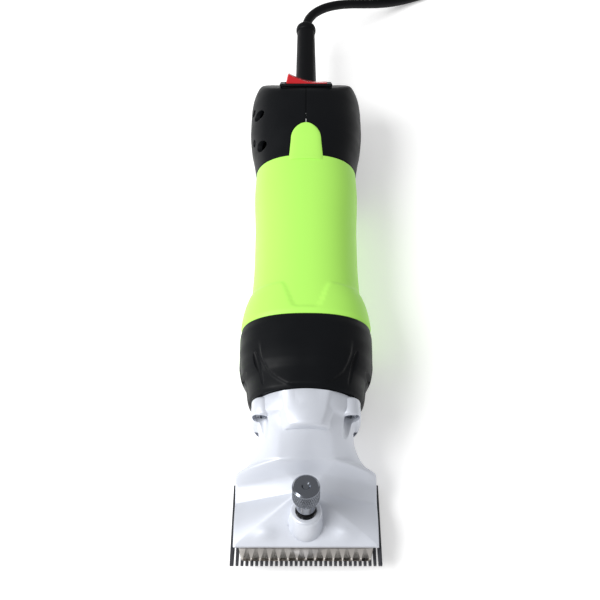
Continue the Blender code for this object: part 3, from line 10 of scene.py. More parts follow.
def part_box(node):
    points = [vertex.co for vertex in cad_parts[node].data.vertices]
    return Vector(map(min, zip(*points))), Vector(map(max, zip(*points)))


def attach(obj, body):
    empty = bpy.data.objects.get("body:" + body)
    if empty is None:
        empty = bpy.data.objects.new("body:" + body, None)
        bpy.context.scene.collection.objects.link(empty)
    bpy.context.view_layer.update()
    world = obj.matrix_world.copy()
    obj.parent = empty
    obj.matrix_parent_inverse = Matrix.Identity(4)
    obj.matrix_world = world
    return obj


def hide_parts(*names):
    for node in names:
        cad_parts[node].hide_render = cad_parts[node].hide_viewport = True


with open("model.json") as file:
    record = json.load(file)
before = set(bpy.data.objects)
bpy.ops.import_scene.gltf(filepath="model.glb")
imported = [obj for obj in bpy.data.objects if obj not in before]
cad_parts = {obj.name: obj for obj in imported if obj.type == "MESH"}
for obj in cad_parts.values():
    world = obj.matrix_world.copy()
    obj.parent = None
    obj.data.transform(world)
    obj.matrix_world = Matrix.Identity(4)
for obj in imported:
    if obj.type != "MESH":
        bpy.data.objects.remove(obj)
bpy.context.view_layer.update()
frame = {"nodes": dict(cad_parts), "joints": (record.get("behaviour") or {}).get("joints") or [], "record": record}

bl_info = {
    "name": "Electric sheep shears",
    "version": (1, 0, 0),
    "blender": (4, 5, 0),
    "location": "3D View > Sidebar > Shears",
    "description": "Models the shells, head, blades, knob, switch and lead of a pair of electric shears",
    "category": "Add Mesh",
}

# Lengths in this script are millimetres. Places on the tool are given by how far back they are from the
# comb's tips, how far over the motor axis, and how far across.
MM = 0.001
JOINTS = {joint["name"]: joint for joint in frame["joints"]}


def ends(node):
    """The front and the rear of a node along the tool, in mm."""
    low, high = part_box(node)
    return low.y / MM, high.y / MM


REAR = ends("strain_relief")[1]
AXIS = JOINTS["armature_spin"]["pos_m"][2] / MM
COLLAR_FRONT, COLLAR_REAR = (y + REAR for y in ends("gear_collar"))
HOUSING_FRONT = ends("motor_housing")[0] + REAR
COVER_FRONT, COVER_REAR = (y + REAR for y in ends("rear_cover_left"))
HOUSING_REAR = COVER_FRONT - 0.3
HEAD_REAR = ends("head_casting")[1] + REAR

# The head's own axes: along the comb and over its sole, from the pivot of the fork
OVER = Vector(JOINTS["fork_swing"]["axis"]).normalized()
ALONG = Vector((0, OVER.z, -OVER.y))
ACROSS = Vector((1, 0, 0))
PIVOT_ALONG = 52.5
PIVOT_OVER = 12.0
TIPS = Vector(JOINTS["fork_swing"]["pos_m"]) / MM - ALONG * PIVOT_ALONG - OVER * PIVOT_OVER
KNOB_ALONG = 18.0

# Half widths, and heights over and under the motor axis, of the handle's shells
COLLAR_STATIONS = (
    (COLLAR_FRONT, 28.6, 24.0, 29.0),
    (COLLAR_FRONT + 2.0, 30.2, 25.0, 31.0),
    (COLLAR_FRONT + 11.0, 31.7, 25.4, 32.0),
    (COLLAR_FRONT + 13.0, 32.9, 25.7, 33.4),
    (COLLAR_FRONT + 17.0, 34.6, 26.4, 34.6),
    (COLLAR_FRONT + 22.5, 35.3, 26.6, 35.0),
    (COLLAR_REAR - 5.0, 35.3, 26.2, 35.0),
    (COLLAR_REAR, 34.6, 25.3, 34.0),
)
HOUSING_STATIONS = (
    (HOUSING_FRONT, 34.5, 25.2, 33.0),
    (HOUSING_FRONT + 5.0, 34.0, 25.1, 32.2),
    (HOUSING_FRONT + 10.0, 33.2, 25.0, 31.0),
    (HOUSING_FRONT + 15.0, 31.9, 24.9, 29.6),
    (HOUSING_FRONT + 20.0, 30.2, 24.8, 28.6),
    (HOUSING_FRONT + 25.0, 29.4, 24.7, 27.8),
    (HOUSING_FRONT + 45.0, 28.7, 24.5, 27.0),
    (HOUSING_REAR - 42.0, 28.7, 24.5, 27.0),
    (HOUSING_REAR - 14.5, 29.7, 24.3, 28.6),
    (HOUSING_REAR, 29.2, 24.0, 30.0),
)
COVER_STATIONS = (
    (COVER_FRONT, 29.2, 24.0, 30.0),
    (COVER_FRONT + 9.0, 30.4, 24.8, 32.0),
    (COVER_FRONT + 15.0, 31.4, 25.5, 33.2),
    (COVER_FRONT + 21.0, 32.5, 26.0, 34.5),
    (COVER_FRONT + 33.0, 33.4, 26.5, 35.0),
    (COVER_REAR - 22.7, 33.2, 26.5, 35.0),
    (COVER_REAR - 16.2, 32.7, 26.2, 34.5),
    (COVER_REAR - 10.2, 31.4, 25.5, 33.4),
    (COVER_REAR - 3.7, 28.1, 24.0, 30.5),
    (COVER_REAR, 24.4, 21.6, 27.6),
)
SLOPE_LENGTH = 19.3
SLOPE_BACK = COVER_REAR - SLOPE_LENGTH / 2
SLOPE_UP = 25.5 - SLOPE_LENGTH / 2
TONGUE_LENGTH = 22.3
TONGUE_HALF_WIDTH = 9.6
COVER_SCREWS = ((COVER_FRONT + 12.5, 15.5), (COVER_FRONT + 34.5, 16.5))
RELIEF_DROP = 4.5
HEAD_SCREW_ACROSS = 22.7
HEAD_SCREW_UPS = (10.0, -12.0)
FLANGE_THICK = 7.3
HEAD_TILT = math.atan2(OVER.y, OVER.z)
TIP_DROP = AXIS - TIPS.z
HEAD_HALF_WIDTH = 36.4
PLATE_EDGE = 7.0
PLATE_SIDE = 9.0
FACET_DEPTH = 24.0
FACET_RISE = 13.5
CUTTER_SOLE = 3.5


def linear(colour):
    """The linear colour of an sRGB hex value."""
    parts = [int(colour[i : i + 2], 16) / 255 for i in (1, 3, 5)]
    return tuple(part / 12.92 if part <= 0.04045 else ((part + 0.055) / 1.055) ** 2.4 for part in parts)


class ShearsSizes(bpy.types.PropertyGroup):
    """Sizes of the shells and fittings."""

    wall: bpy.props.FloatProperty(
        name="Shell wall", description="Thickness of the moulded shells, in mm", default=2.5, unit="NONE"
    )
    pad_rise: bpy.props.FloatProperty(
        name="Pad rise", description="How proud the front grip pads stand on the housing, in mm", default=0.7
    )
    tongue_stand: bpy.props.FloatProperty(
        name="Tongue stand", description="How proud the housing's tongue stands on the rear cover, in mm",
        default=0.5
    )
    seam: bpy.props.FloatProperty(
        name="Seam", description="Gap between two mouldings that meet, in mm", default=0.3
    )
    knurls: bpy.props.IntProperty(
        name="Knurls", description="Diamonds round the tension knob", default=40
    )
    knurl_depth: bpy.props.FloatProperty(
        name="Knurl depth", description="Depth of the knob's knurling, in mm", default=0.42
    )
    vents: bpy.props.IntProperty(
        name="Vents", description="Cooling slots in each side of the rear cover", default=5
    )
    cord_diameter: bpy.props.FloatProperty(
        name="Cord diameter", description="Diameter of the mains lead, in mm", default=6.0
    )


def colour_property(name, description, colour):
    return bpy.props.FloatVectorProperty(
        name=name, description=description, subtype="COLOR", size=3, default=linear(colour)
    )


class ShearsColours(bpy.types.PropertyGroup):
    """Colours of the finishes a user would change."""

    green: colour_property("Housing", "Glass-filled nylon of the motor housing", "#B4F468")
    black: colour_property("Black nylon", "Glass-filled nylon of the collar and rear covers", "#0B0D10")
    silver: colour_property("Casting", "Silver lacquer on the die-cast head", "#D2D6DF")
    chrome: colour_property("Knob", "Dark nickel chrome of the tension knob", "#7B7F87")
    red: colour_property("Rocker", "Red of the power rocker", "#C8141F")


def sizes():
    return bpy.context.scene.shears_sizes


def colours():
    return bpy.context.scene.shears_colours


# Places and outlines


def at(across, back, up):
    """A place on the tool."""
    return Vector((across, back - REAR, up + AXIS))


def in_head(along, over, across=0.0):
    """A place in the head's own axes."""
    return TIPS + ALONG * along + OVER * over + ACROSS * across


def head_point(along, over):
    """How far back and how far over the motor axis a point of the head is."""
    back = along * math.cos(HEAD_TILT) + over * math.sin(HEAD_TILT)
    return back, over * math.cos(HEAD_TILT) - along * math.sin(HEAD_TILT) - TIP_DROP


def ramp(low, high, value):
    """0 up to low, 1 from high on, and smooth between."""
    share = min(max((value - low) / (high - low), 0.0), 1.0)
    return share * share * (3 - 2 * share)


def flowing(stations, place):
    """The values at a place along stations, on a smooth curve that never swings past a station."""
    last = len(stations) - 2
    i = 0
    while i < last and place > stations[i + 1][0]:
        i += 1
    a, b = stations[i], stations[i + 1]
    span = b[0] - a[0]
    t = min(max((place - a[0]) / span, 0.0), 1.0)

    def steepness(j, k):
        """The slope at station j of value k: the gentler of its two sides, and none at a peak."""
        if j in (0, len(stations) - 1):
            near = (0, 1) if j == 0 else (j - 1, j)
            return (stations[near[1]][k] - stations[near[0]][k]) / (
                stations[near[1]][0] - stations[near[0]][0]
            )
        before = (stations[j][k] - stations[j - 1][k]) / (stations[j][0] - stations[j - 1][0])
        after = (stations[j + 1][k] - stations[j][k]) / (stations[j + 1][0] - stations[j][0])
        return 0.0 if before * after <= 0 else 2 * before * after / (before + after)

    values = []
    for k in range(1, len(a)):
        rise = steepness(i, k) * span
        run = steepness(i + 1, k) * span
        values.append(
            a[k] * (2 * t**3 - 3 * t**2 + 1)
            + rise * (t**3 - 2 * t**2 + t)
            + b[k] * (3 * t**2 - 2 * t**3)
            + run * (t**3 - t**2)
        )
    return values


def oval(half_width, above, below, steps, fullness=2.35):
    """An outline across the tool, as (across, up), flat where it would pass the surface it rests on."""
    points = []
    for i in range(steps):
        angle = math.tau * i / steps
        across = math.copysign(abs(math.cos(angle)) ** (2 / fullness), math.cos(angle)) * half_width
        upright = math.copysign(abs(math.sin(angle)) ** (2 / fullness), math.sin(angle))
        points.append((across, max(upright * (above if upright > 0 else below), 0.02 - AXIS)))
    return points


def inward(points, wall):
    """An outline drawn in by a wall."""
    drawn = []
    for across, up in points:
        length = math.hypot(across, up)
        drawn.append((across * (1 - wall / length), up * (1 - wall / length)))
    return drawn


def hoop(back, points):
    return [at(across, back, up) for across, up in points]


def steps_between(low, high, pitch):
    """Even places from low to high, about a pitch apart."""
    count = max(round((high - low) / pitch), 1)
    return [low + (high - low) * i / count for i in range(count + 1)]


# Modelling


def only(piece):
    bpy.ops.object.select_all(action="DESELECT")
    piece.select_set(True)
    bpy.context.view_layer.objects.active = piece


def finish_modifiers(piece):
    only(piece)
    for modifier in list(piece.modifiers):
        bpy.ops.object.modifier_apply(modifier=modifier.name)
    return piece


def close_up(piece, cap):
    """Merges a skin's seam and poles, closes its ends if asked, and turns its faces outwards."""
    only(piece)
    bpy.ops.object.mode_set(mode="EDIT")
    bpy.ops.mesh.select_all(action="SELECT")
    bpy.ops.mesh.remove_doubles(threshold=0.002)
    if cap:
        bpy.ops.mesh.select_all(action="DESELECT")
        bpy.ops.mesh.select_mode(type="EDGE")
        bpy.ops.mesh.select_non_manifold(
            extend=False, use_wire=False, use_multi_face=False, use_non_contiguous=False
        )
        bpy.ops.mesh.fill_holes(sides=0)
    bpy.ops.mesh.select_mode(type="VERT")
    bpy.ops.mesh.select_all(action="SELECT")
    bpy.ops.mesh.normals_make_consistent(inside=False)
    bpy.ops.object.mode_set(mode="OBJECT")
    return piece


def rolled(name, rings, cap=True):
    """A grid rolled round a run of rings: each row takes one ring, its last column the first again."""
    around = len(rings[0])
    bpy.ops.object.select_all(action="DESELECT")
    bpy.ops.mesh.primitive_grid_add(x_subdivisions=around, y_subdivisions=len(rings) - 1)
    piece = bpy.context.object
    piece.name = name
    for row, ring in enumerate(rings):
        for column in range(around + 1):
            piece.data.vertices[row * (around + 1) + column].co = ring[column % around]
    piece.location = (0, 0, 0)
    return close_up(piece, cap)


def lathe(name, profile, frame_at, steps=48, looped=False):
    """A profile of (radius, height) turned about the Z of a frame. Looped profiles close on themselves."""
    outline = profile + profile[:1] if looped else profile
    rings = []
    for radius, height in outline:
        rings.append([
            frame_at @ Vector(
                (radius * math.cos(math.tau * i / steps), radius * math.sin(math.tau * i / steps), height)
            )
            for i in range(steps)
        ])
    return rolled(name, rings, cap=not looped)


def slab(name, low, high, frame_at, bevel=0.0):
    """A block between two corners of a frame, with its edges rounded."""
    bpy.ops.object.select_all(action="DESELECT")
    bpy.ops.mesh.primitive_cube_add(size=1)
    piece = bpy.context.object
    piece.name = name
    middle = (Vector(low) + Vector(high)) / 2
    size = Vector(high) - Vector(low)
    piece.data.transform(Matrix.Translation(middle) @ Matrix.Diagonal((*size, 1)))
    if bevel:
        only(piece)
        bpy.ops.object.mode_set(mode="EDIT")
        bpy.ops.mesh.select_all(action="SELECT")
        bpy.ops.mesh.bevel(offset=bevel, segments=3, affect="EDGES", clamp_overlap=True)
        bpy.ops.object.mode_set(mode="OBJECT")
    piece.data.transform(frame_at)
    return piece


def drum(name, radius, low, high, frame_at, bevel=0.0, steps=40):
    """A round bar along a frame's Z, its end edges rounded."""
    bpy.ops.object.select_all(action="DESELECT")
    bpy.ops.mesh.primitive_cylinder_add(vertices=steps, radius=radius, depth=high - low)
    piece = bpy.context.object
    piece.name = name
    piece.data.transform(Matrix.Translation((0, 0, (low + high) / 2)))
    if bevel:
        only(piece)
        bpy.ops.object.mode_set(mode="EDIT")
        bpy.ops.mesh.select_mode(type="FACE")
        bpy.ops.mesh.select_all(action="DESELECT")
        bpy.ops.object.mode_set(mode="OBJECT")
        for face in piece.data.polygons:
            face.select = abs(face.normal.z) > 0.9
        bpy.ops.object.mode_set(mode="EDIT")
        bpy.ops.mesh.bevel(offset=bevel, segments=3, affect="EDGES")
        bpy.ops.object.mode_set(mode="OBJECT")
    piece.data.transform(frame_at)
    return piece


def bead(name, radii, frame_at):
    """An egg with three radii, centred on a frame."""
    bpy.ops.object.select_all(action="DESELECT")
    bpy.ops.mesh.primitive_uv_sphere_add(segments=40, ring_count=24, radius=1)
    piece = bpy.context.object
    piece.name = name
    piece.data.transform(frame_at @ Matrix.Diagonal((*radii, 1)))
    return piece


def shape_with(target, tools, operation):
    """Joins, cuts or keeps with other pieces, which are used up."""
    for tool in tools:
        modifier = target.modifiers.new(tool.name, "BOOLEAN")
        modifier.operation = operation
        modifier.object = tool
        modifier.solver = "EXACT"
        finish_modifiers(target)
        bpy.data.objects.remove(tool)
    return target


def soften(piece, width, segments=2, angle=35):
    """Rounds the edges over an angle."""
    modifier = piece.modifiers.new("edges", "BEVEL")
    modifier.width = width
    modifier.segments = segments
    modifier.limit_method = "ANGLE"
    modifier.angle_limit = math.radians(angle)
    modifier.use_clamp_overlap = True
    modifier.harden_normals = False
    return finish_modifiers(piece)


def turned_to(back, up, across=0.0, toward="rear"):
    """A frame on the tool whose Z runs to the rear, to the front or to the right."""
    turn = {"rear": (-90, "X"), "front": (90, "X"), "right": (90, "Y")}[toward]
    return Matrix.Translation(at(across, back, up)) @ Matrix.Rotation(math.radians(turn[0]), 4, turn[1])


def head_frame(along, over=0.0, across=0.0):
    """A frame in the head: X across, Y along, Z over."""
    turn = Matrix((ACROSS, ALONG, OVER)).transposed().to_4x4()
    return Matrix.Translation(in_head(along, over, across)) @ turn


SLOPE = Matrix.Translation(at(0, SLOPE_BACK, SLOPE_UP)) @ Matrix.Rotation(math.radians(-45), 4, "X")


def settle(piece, name, body, material, stands_for=None, angle=34):
    """Brings a piece from millimetres to metres, gives it its finish, and hangs it on its body."""
    piece.name = name
    piece.data.name = name
    piece.data.transform(Matrix.Scale(MM, 4))
    piece.matrix_world = Matrix.Identity(4)
    piece.data.materials.clear()
    piece.data.materials.append(material)
    only(piece)
    bpy.ops.object.shade_smooth_by_angle(angle=math.radians(angle))
    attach(piece, body)
    if stands_for:
        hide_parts(stands_for)
    return piece


def refined(node, name, body, material, edge):
    """A node's own shape, merged, with its edges rounded."""
    piece = frame["nodes"][node].copy()
    piece.data = frame["nodes"][node].data.copy()
    for tag in list(piece.keys()):
        del piece[tag]
    piece.parent = None
    bpy.context.scene.collection.objects.link(piece)
    piece.matrix_world = Matrix.Identity(4)
    piece.data.transform(Matrix.Scale(1 / MM, 4))
    only(piece)
    bpy.ops.object.mode_set(mode="EDIT")
    bpy.ops.mesh.select_all(action="SELECT")
    bpy.ops.mesh.remove_doubles(threshold=0.002)
    bpy.ops.mesh.dissolve_limited(angle_limit=math.radians(1.5))
    bpy.ops.mesh.normals_make_consistent(inside=False)
    bpy.ops.mesh.customdata_custom_splitnormals_clear()
    bpy.ops.object.mode_set(mode="OBJECT")
    soften(piece, edge)
    return settle(piece, name, body, material, node)


# Finishes


def add(tree, kind, values=None, links=None, **settings):
    """Adds a node with its settings, the values of its inputs, and links into its inputs."""
    made = tree.nodes.new(kind)
    for name, value in settings.items():
        setattr(made, name, value)
    for name, value in (values or {}).items():
        made.inputs[name].default_value = value
    for name, socket in (links or {}).items():
        tree.links.new(socket, made.inputs[name])
    return made


def finish_of(name, shade, roughness, metallic=0.0, grains=(), mottle=0.0, uneven=0.0, blotch=9.0, **sockets):
    """A Principled finish.

    Each grain is (size, height, stretch): noise that size in mm, that many mm high, drawn out along the
    tool by the stretch. mottle lightens and darkens the colour by a share, and uneven moves the roughness
    by as much, in patches of blotch mm.
    """
    material = bpy.data.materials.new(name)
    material.use_nodes = True
    tree = material.node_tree
    shader = tree.nodes["Principled BSDF"]
    shader.inputs["Base Color"].default_value = (*shade, 1)
    shader.inputs["Roughness"].default_value = roughness
    shader.inputs["Metallic"].default_value = metallic
    for socket, value in sockets.items():
        shader.inputs[socket.replace("_", " ")].default_value = value
    place = add(tree, "ShaderNodeTexCoord").outputs["Object"]
    normal = None
    for size, height, stretch in grains:
        drawn = add(tree, "ShaderNodeMapping", {"Scale": (1, 1 / stretch, 1)}, {"Vector": place})
        noise = add(
            tree, "ShaderNodeTexNoise", {"Scale": 1000 / size, "Detail": 3.0}, {
                "Vector": drawn.outputs["Vector"]
            }
        )
        links = {"Height": noise.outputs["Fac"]}
        if normal:
            links["Normal"] = normal
        bump = add(tree, "ShaderNodeBump", {"Strength": 1.0, "Distance": height * MM}, links)
        normal = bump.outputs["Normal"]
    if normal:
        tree.links.new(normal, shader.inputs["Normal"])
    if mottle or uneven:
        patches = add(tree, "ShaderNodeTexNoise", {"Scale": 1000 / blotch, "Detail": 4.0}, {"Vector": place})
    if mottle:
        tint = add(
            tree, "ShaderNodeMapRange", {"To Min": 1 - mottle, "To Max": 1 + mottle}, {
                "Value": patches.outputs["Fac"]
            }
        )
        mixed = add(
            tree, "ShaderNodeVectorMath", {0: shade}, {1: tint.outputs["Result"]}, operation="MULTIPLY"
        )
        tree.links.new(mixed.outputs["Vector"], shader.inputs["Base Color"])
    if uneven:
        matt = add(
            tree,
            "ShaderNodeMapRange",
            {"From Min": 0.3, "From Max": 0.7, "To Min": roughness - uneven, "To Max": roughness + uneven},
            {"Value": patches.outputs["Fac"]},
        )
        tree.links.new(matt.outputs["Result"], shader.inputs["Roughness"])
    return material


FINISHES = {}


def make_finishes():
    """The finishes, each from the real material and how its surface was made."""
    tones = colours()
    # Glass-filled nylon moulded in a fine spark-eroded cavity: even colour, broad soft gloss
    FINISHES["green_shell"] = finish_of(
        "green moulded nylon", tones.green, 0.42, grains=((0.9, 0.012, 1),), uneven=0.04,
        Specular_IOR_Level=0.2
    )
    # The same nylon in black, a little coarser, so its gloss breaks up
    FINISHES["black_plastic"] = finish_of(
        "black moulded nylon", tones.black, 0.46, grains=((0.8, 0.02, 1),), mottle=0.1, uneven=0.06,
        Specular_IOR_Level=0.12,
    )
    # Die-cast aluminium under a satin silver lacquer: fine orange peel over the cast skin
    FINISHES["cast_aluminium"] = finish_of(
        "silver-lacquered die-cast aluminium", tones.silver, 0.46, 0.3, grains=(
            (2.4, 0.02, 1), (0.7, 0.008, 1)
        ),
        mottle=0.03, uneven=0.05,
    )
    # Steel under dark nickel chrome: sharp glints on the knurling
    FINISHES["knob_chrome"] = finish_of("dark nickel chrome", tones.chrome, 0.2, 1.0, uneven=0.05)
    # Turned and ground steel
    FINISHES["bright_steel"] = finish_of(
        "bright machined steel", linear("#C2C4C8"), 0.28, 1.0, grains=((0.5, 0.002, 6),), uneven=0.06
    )
    # Hardened comb steel: dark steel, made darker still as painted shade, so that it stands for the shade the
    # cutter casts where the comb shows between the cutter's teeth; ground faces along the teeth
    FINISHES["comb_steel"] = finish_of(
        "dark comb steel with painted shade", linear("#3A3B40"), 0.5, 0.35, grains=((0.35, 0.004, 30),),
        mottle=0.15, uneven=0.08
    )
    # Hollow-ground cutter steel: paler, with lengthwise grinding lines
    FINISHES["cutter_steel"] = finish_of(
        "ground cutter steel", linear("#D6D1CB"), 0.34, 0.9, grains=((0.3, 0.003, 30),), uneven=0.06
    )
    # Drawn brass, slightly dulled
    FINISHES["brass"] = finish_of("drawn brass", linear("#C9A55A"), 0.3, 1.0, mottle=0.05, uneven=0.06)
    # Winding wire under amber enamel: copper with a hard gloss
    FINISHES["copper"] = finish_of(
        "enamelled copper wire", linear("#B4643A"), 0.32, 0.9, grains=((0.8, 0.12, 1),),
        Coat_Weight=0.6, Coat_Roughness=0.2
    )
    # Stacked silicon-steel sheets, their edges showing as fine lines round the stack
    FINISHES["laminations"] = finish_of(
        "stacked silicon steel", linear("#7A7C80"), 0.5, 0.9, grains=((0.9, 0.05, 0.03),), mottle=0.1
    )
    # Pressed carbon: black, matt, faintly greasy
    FINISHES["carbon"] = finish_of("pressed carbon", linear("#26262A"), 0.62, grains=((0.5, 0.02, 1),))
    # Phenolic moulding: brown-black, with a low gloss
    FINISHES["phenolic"] = finish_of("phenolic moulding", linear("#3A2A22"), 0.42, mottle=0.2)
    # Self-coloured ABS straight from a polished mould
    FINISHES["red_plastic"] = finish_of("red polished ABS", tones.red, 0.24, IOR=1.54)
    # Soft PVC: matt, with a faint bloom
    FINISHES["soft_rubber"] = finish_of(
        "black flexible PVC", linear("#0A0B0E"), 0.48, grains=((0.6, 0.01, 1),), uneven=0.06,
        Specular_IOR_Level=0.12
    )
    # Sintered bronze, porous and oiled
    FINISHES["bronze"] = finish_of(
        "sintered bronze", linear("#A77F4E"), 0.42, 1.0, grains=((0.4, 0.02, 1),), mottle=0.1
    )


# Pieces


class ShearsOperator:
    bl_options = {"REGISTER", "UNDO"}

    def execute(self, context):
        self.make()
        return {"FINISHED"}


class SHEARS_OT_camera(ShearsOperator, bpy.types.Operator):
    """Adds the camera, in front of the comb and above it"""

    bl_idname = "shears.camera"
    bl_label = "Camera"

    def make(self):
        bpy.ops.object.camera_add(location=(0, -0.3094, 0.5108), rotation=(math.radians(30), 0, 0))
        camera = bpy.context.object
        camera.data.lens = 60
        camera.data.shift_x = -0.01
        camera.data.clip_start = 0.01
        bpy.context.scene.camera = camera


# The lead leaves the sleeve, sinks to the table and runs round to the coil
LEAD_RUN = (
    (0.0, 165.9, 29.5), (0.0, 171.5, 29.5), (0.3, 177.5, 29.4), (2.0, 184.0, 29.0), (6.0, 190.5, 28.2),
    (12.5, 196.5, 26.8), (20.5, 201.5, 24.6), (29.5, 206.0, 21.4), (39.0, 210.5, 17.2), (48.5, 215.5, 12.6),
    (58.0, 221.0, 8.3), (67.5, 226.5, 5.2), (77.0, 231.5, 3.6), (86.5, 236.0, 3.1),
)
LEAD_TAIL = (
    (41.2, 283.3, 26.3), (42.0, 277.1, 27.0), (44.4, 271.3, 27.9), (48.0, 266.2, 28.9), (52.8, 262.0, 29.8),
    (58.6, 259.7, 30.5), (65.4, 259.3, 30.8),
)
COIL_CENTRE = (76.8, 280.2)
COIL_JOINS = math.radians(-65)
TURN_RADII = (38.0, 32.0, 26.0, 28.6, 34.6, 40.6)
LAYER_PITCH = 5.42


def coil_points():
    """The lead round the coil, layer on layer, each turn stepping sideways just before it closes."""
    points = []
    turns = len(TURN_RADII) * 2
    per_turn = 60
    laid = 11.64
    lifts = 11.34
    lift, run_in, resting = 6.4, 6.2, 3.05
    leaving_radius = 35.8
    for i in range(int(laid * per_turn) + 1):
        gone = i / per_turn
        turn = min(int(gone), turns - 1)
        into = ramp(5 / 6, 1, gone - turn)
        here, after = TURN_RADII[turn % 6], TURN_RADII[(turn + 1) % 6]
        radius = here + (after - here) * into if turn < turns - 1 else here
        layer, next_layer = turn // 3, min((turn + 1) // 3, 3)
        height = resting + LAYER_PITCH * (layer + (next_layer - layer) * into)
        radius += run_in * (1 - ramp(0, 1 / 6, gone))
        height += lift * ramp(lifts, laid, gone)
        radius += (leaving_radius - TURN_RADII[5]) * ramp(lifts + 0.12, laid, gone)
        angle = COIL_JOINS + math.tau * gone
        points.append((
            COIL_CENTRE[0] + radius * math.cos(angle), COIL_CENTRE[1] + radius * math.sin(angle), height
        ))
    return points


def smooth_line(points, pitch):
    """Points about a pitch apart along a Catmull-Rom curve through these."""
    points = [Vector(point) for point in points]
    line = []
    for i in range(len(points) - 1):
        before = points[max(i - 1, 0)]
        a, b = points[i], points[i + 1]
        after = points[min(i + 2, len(points) - 1)]
        count = max(round((b - a).length / pitch), 1)
        for step in range(count):
            t = step / count
            line.append(
                0.5 * (2 * a + (b - before) * t + (2 * before - 5 * a + 4 * b - after) * t**2
                       + (3 * a - before - 3 * b + after) * t**3)
            )
    line.append(points[-1])
    return line


class SHEARS_OT_lead(ShearsOperator, bpy.types.Operator):
    """Adds the mains lead with its plug"""

    bl_idname = "shears.lead"
    bl_label = "Mains lead and plug"

    def make(self):
        route = smooth_line(LEAD_RUN + tuple(coil_points()) + LEAD_TAIL, 2.6)
        curve = bpy.data.curves.new("mains_lead", "CURVE")
        curve.dimensions = "3D"
        curve.bevel_depth = sizes().cord_diameter / 2 * MM
        curve.bevel_resolution = 5
        curve.use_fill_caps = True
        spline = curve.splines.new("POLY")
        spline.points.add(len(route) - 1)
        for point, place in zip(spline.points, route):
            point.co = (*(place * MM), 1)
        curve.materials.append(FINISHES["soft_rubber"])
        lead = bpy.data.objects.new("mains_lead", curve)
        bpy.context.scene.collection.objects.link(lead)
        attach(lead, "root")
        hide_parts("cord_run")
        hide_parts("cord_coil")
        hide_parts("cord_tail")
        plug = self.plug()
        pins = self.pins()

    def plug(self):
        """A moulded two-pin plug with a ribbed collar over the lead."""
        low, high = (Vector(corner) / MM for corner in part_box("plug_body"))
        middle = (low + high) / 2
        axis = Matrix.Translation((low.x, middle.y, middle.z)) @ Matrix.Rotation(math.radians(90), 4, "Y")
        length = high.x - low.x
        half_wide, half_thick = (high.y - low.y) / 2, (high.z - low.z) / 2
        rings = []
        for share in (0.27, 0.3, 0.34, 0.4, 0.5, 0.64, 0.8, 0.92, 0.97, 1.0):
            rounding = 1 - 0.55 * (1 - ramp(0.2, 0.62, share)) - 0.06 * ramp(0.96, 1, share)
            ring = []
            for i in range(64):
                angle = math.tau * i / 64
                across = math.copysign(abs(math.cos(angle)) ** 0.55, math.cos(angle)) * half_wide * rounding
                up = math.copysign(abs(math.sin(angle)) ** 0.55, math.sin(angle)) * half_thick * rounding
                ring.append(axis @ Vector((up, across, length * share)))
            rings.append(ring)
        body = rolled("plug", rings)
        collar = [(3.6, 0.1)]
        for rib in range(4):
            start = 0.6 + rib * 2.4
            collar += [
                (4.2 + rib * 0.3, start), (4.2 + rib * 0.3, start + 1.5), (3.7 + rib * 0.3, start + 1.7)
            ]
            collar += [(3.7 + rib * 0.3, start + 2.2)]
        collar += [(5.4, 11.5), (0, 11.5), (0, 0.1)]
        relief = lathe("plug_collar", collar, axis, 40)
        shape_with(body, [relief], "UNION")
        soften(body, 0.3)
        return settle(body, "plug_moulding", "root", FINISHES["soft_rubber"], "plug_body")

    def pins(self):
        made = []
        for node in ("plug_pin_left", "plug_pin_right"):
            made.append(refined(node, node + "_brass", "root", FINISHES["brass"], 0.3))
        return made


def tongue_half_width(past):
    """Half width of the housing's tongue at a distance past its base."""
    rounding = 11.5
    straight = TONGUE_LENGTH - rounding
    if past < straight:
        return TONGUE_HALF_WIDTH - 0.9 * past / straight
    share = min((past - straight) / rounding, 1.0)
    return (TONGUE_HALF_WIDTH - 0.9) * (1 - share**2.2) ** 0.6


def tongue_piece(name, wider, stand, wall):
    """The tongue over the rear cover, this much wider and prouder, and this thick."""
    rings = []
    reach = TONGUE_LENGTH + wider
    for past in [-3.0, -1.0] + [reach * math.sin(math.pi / 2 * i / 40) for i in range(40)]:
        back = HOUSING_REAR + past
        half_width, above, _ = flowing(COVER_STATIONS, max(back, COVER_FRONT))
        half = tongue_half_width(max(past, 0) * TONGUE_LENGTH / reach) + wider
        top, bottom = [], []
        for i in range(33):
            share = math.sin(math.pi / 2 * (i / 16 - 1))
            across = share * half
            height = above * (1 - abs(across / half_width) ** 2.35) ** (1 / 2.35)
            edge = 0.5 * abs(share) ** 8 + 0.4 * ramp(reach - 1.5, reach, past) ** 2
            top.append(at(across, back, height + stand - edge))
            bottom.append(at(across, back, height + stand - wall))
        rings.append(top + bottom[::-1])
    return rolled(name, rings)


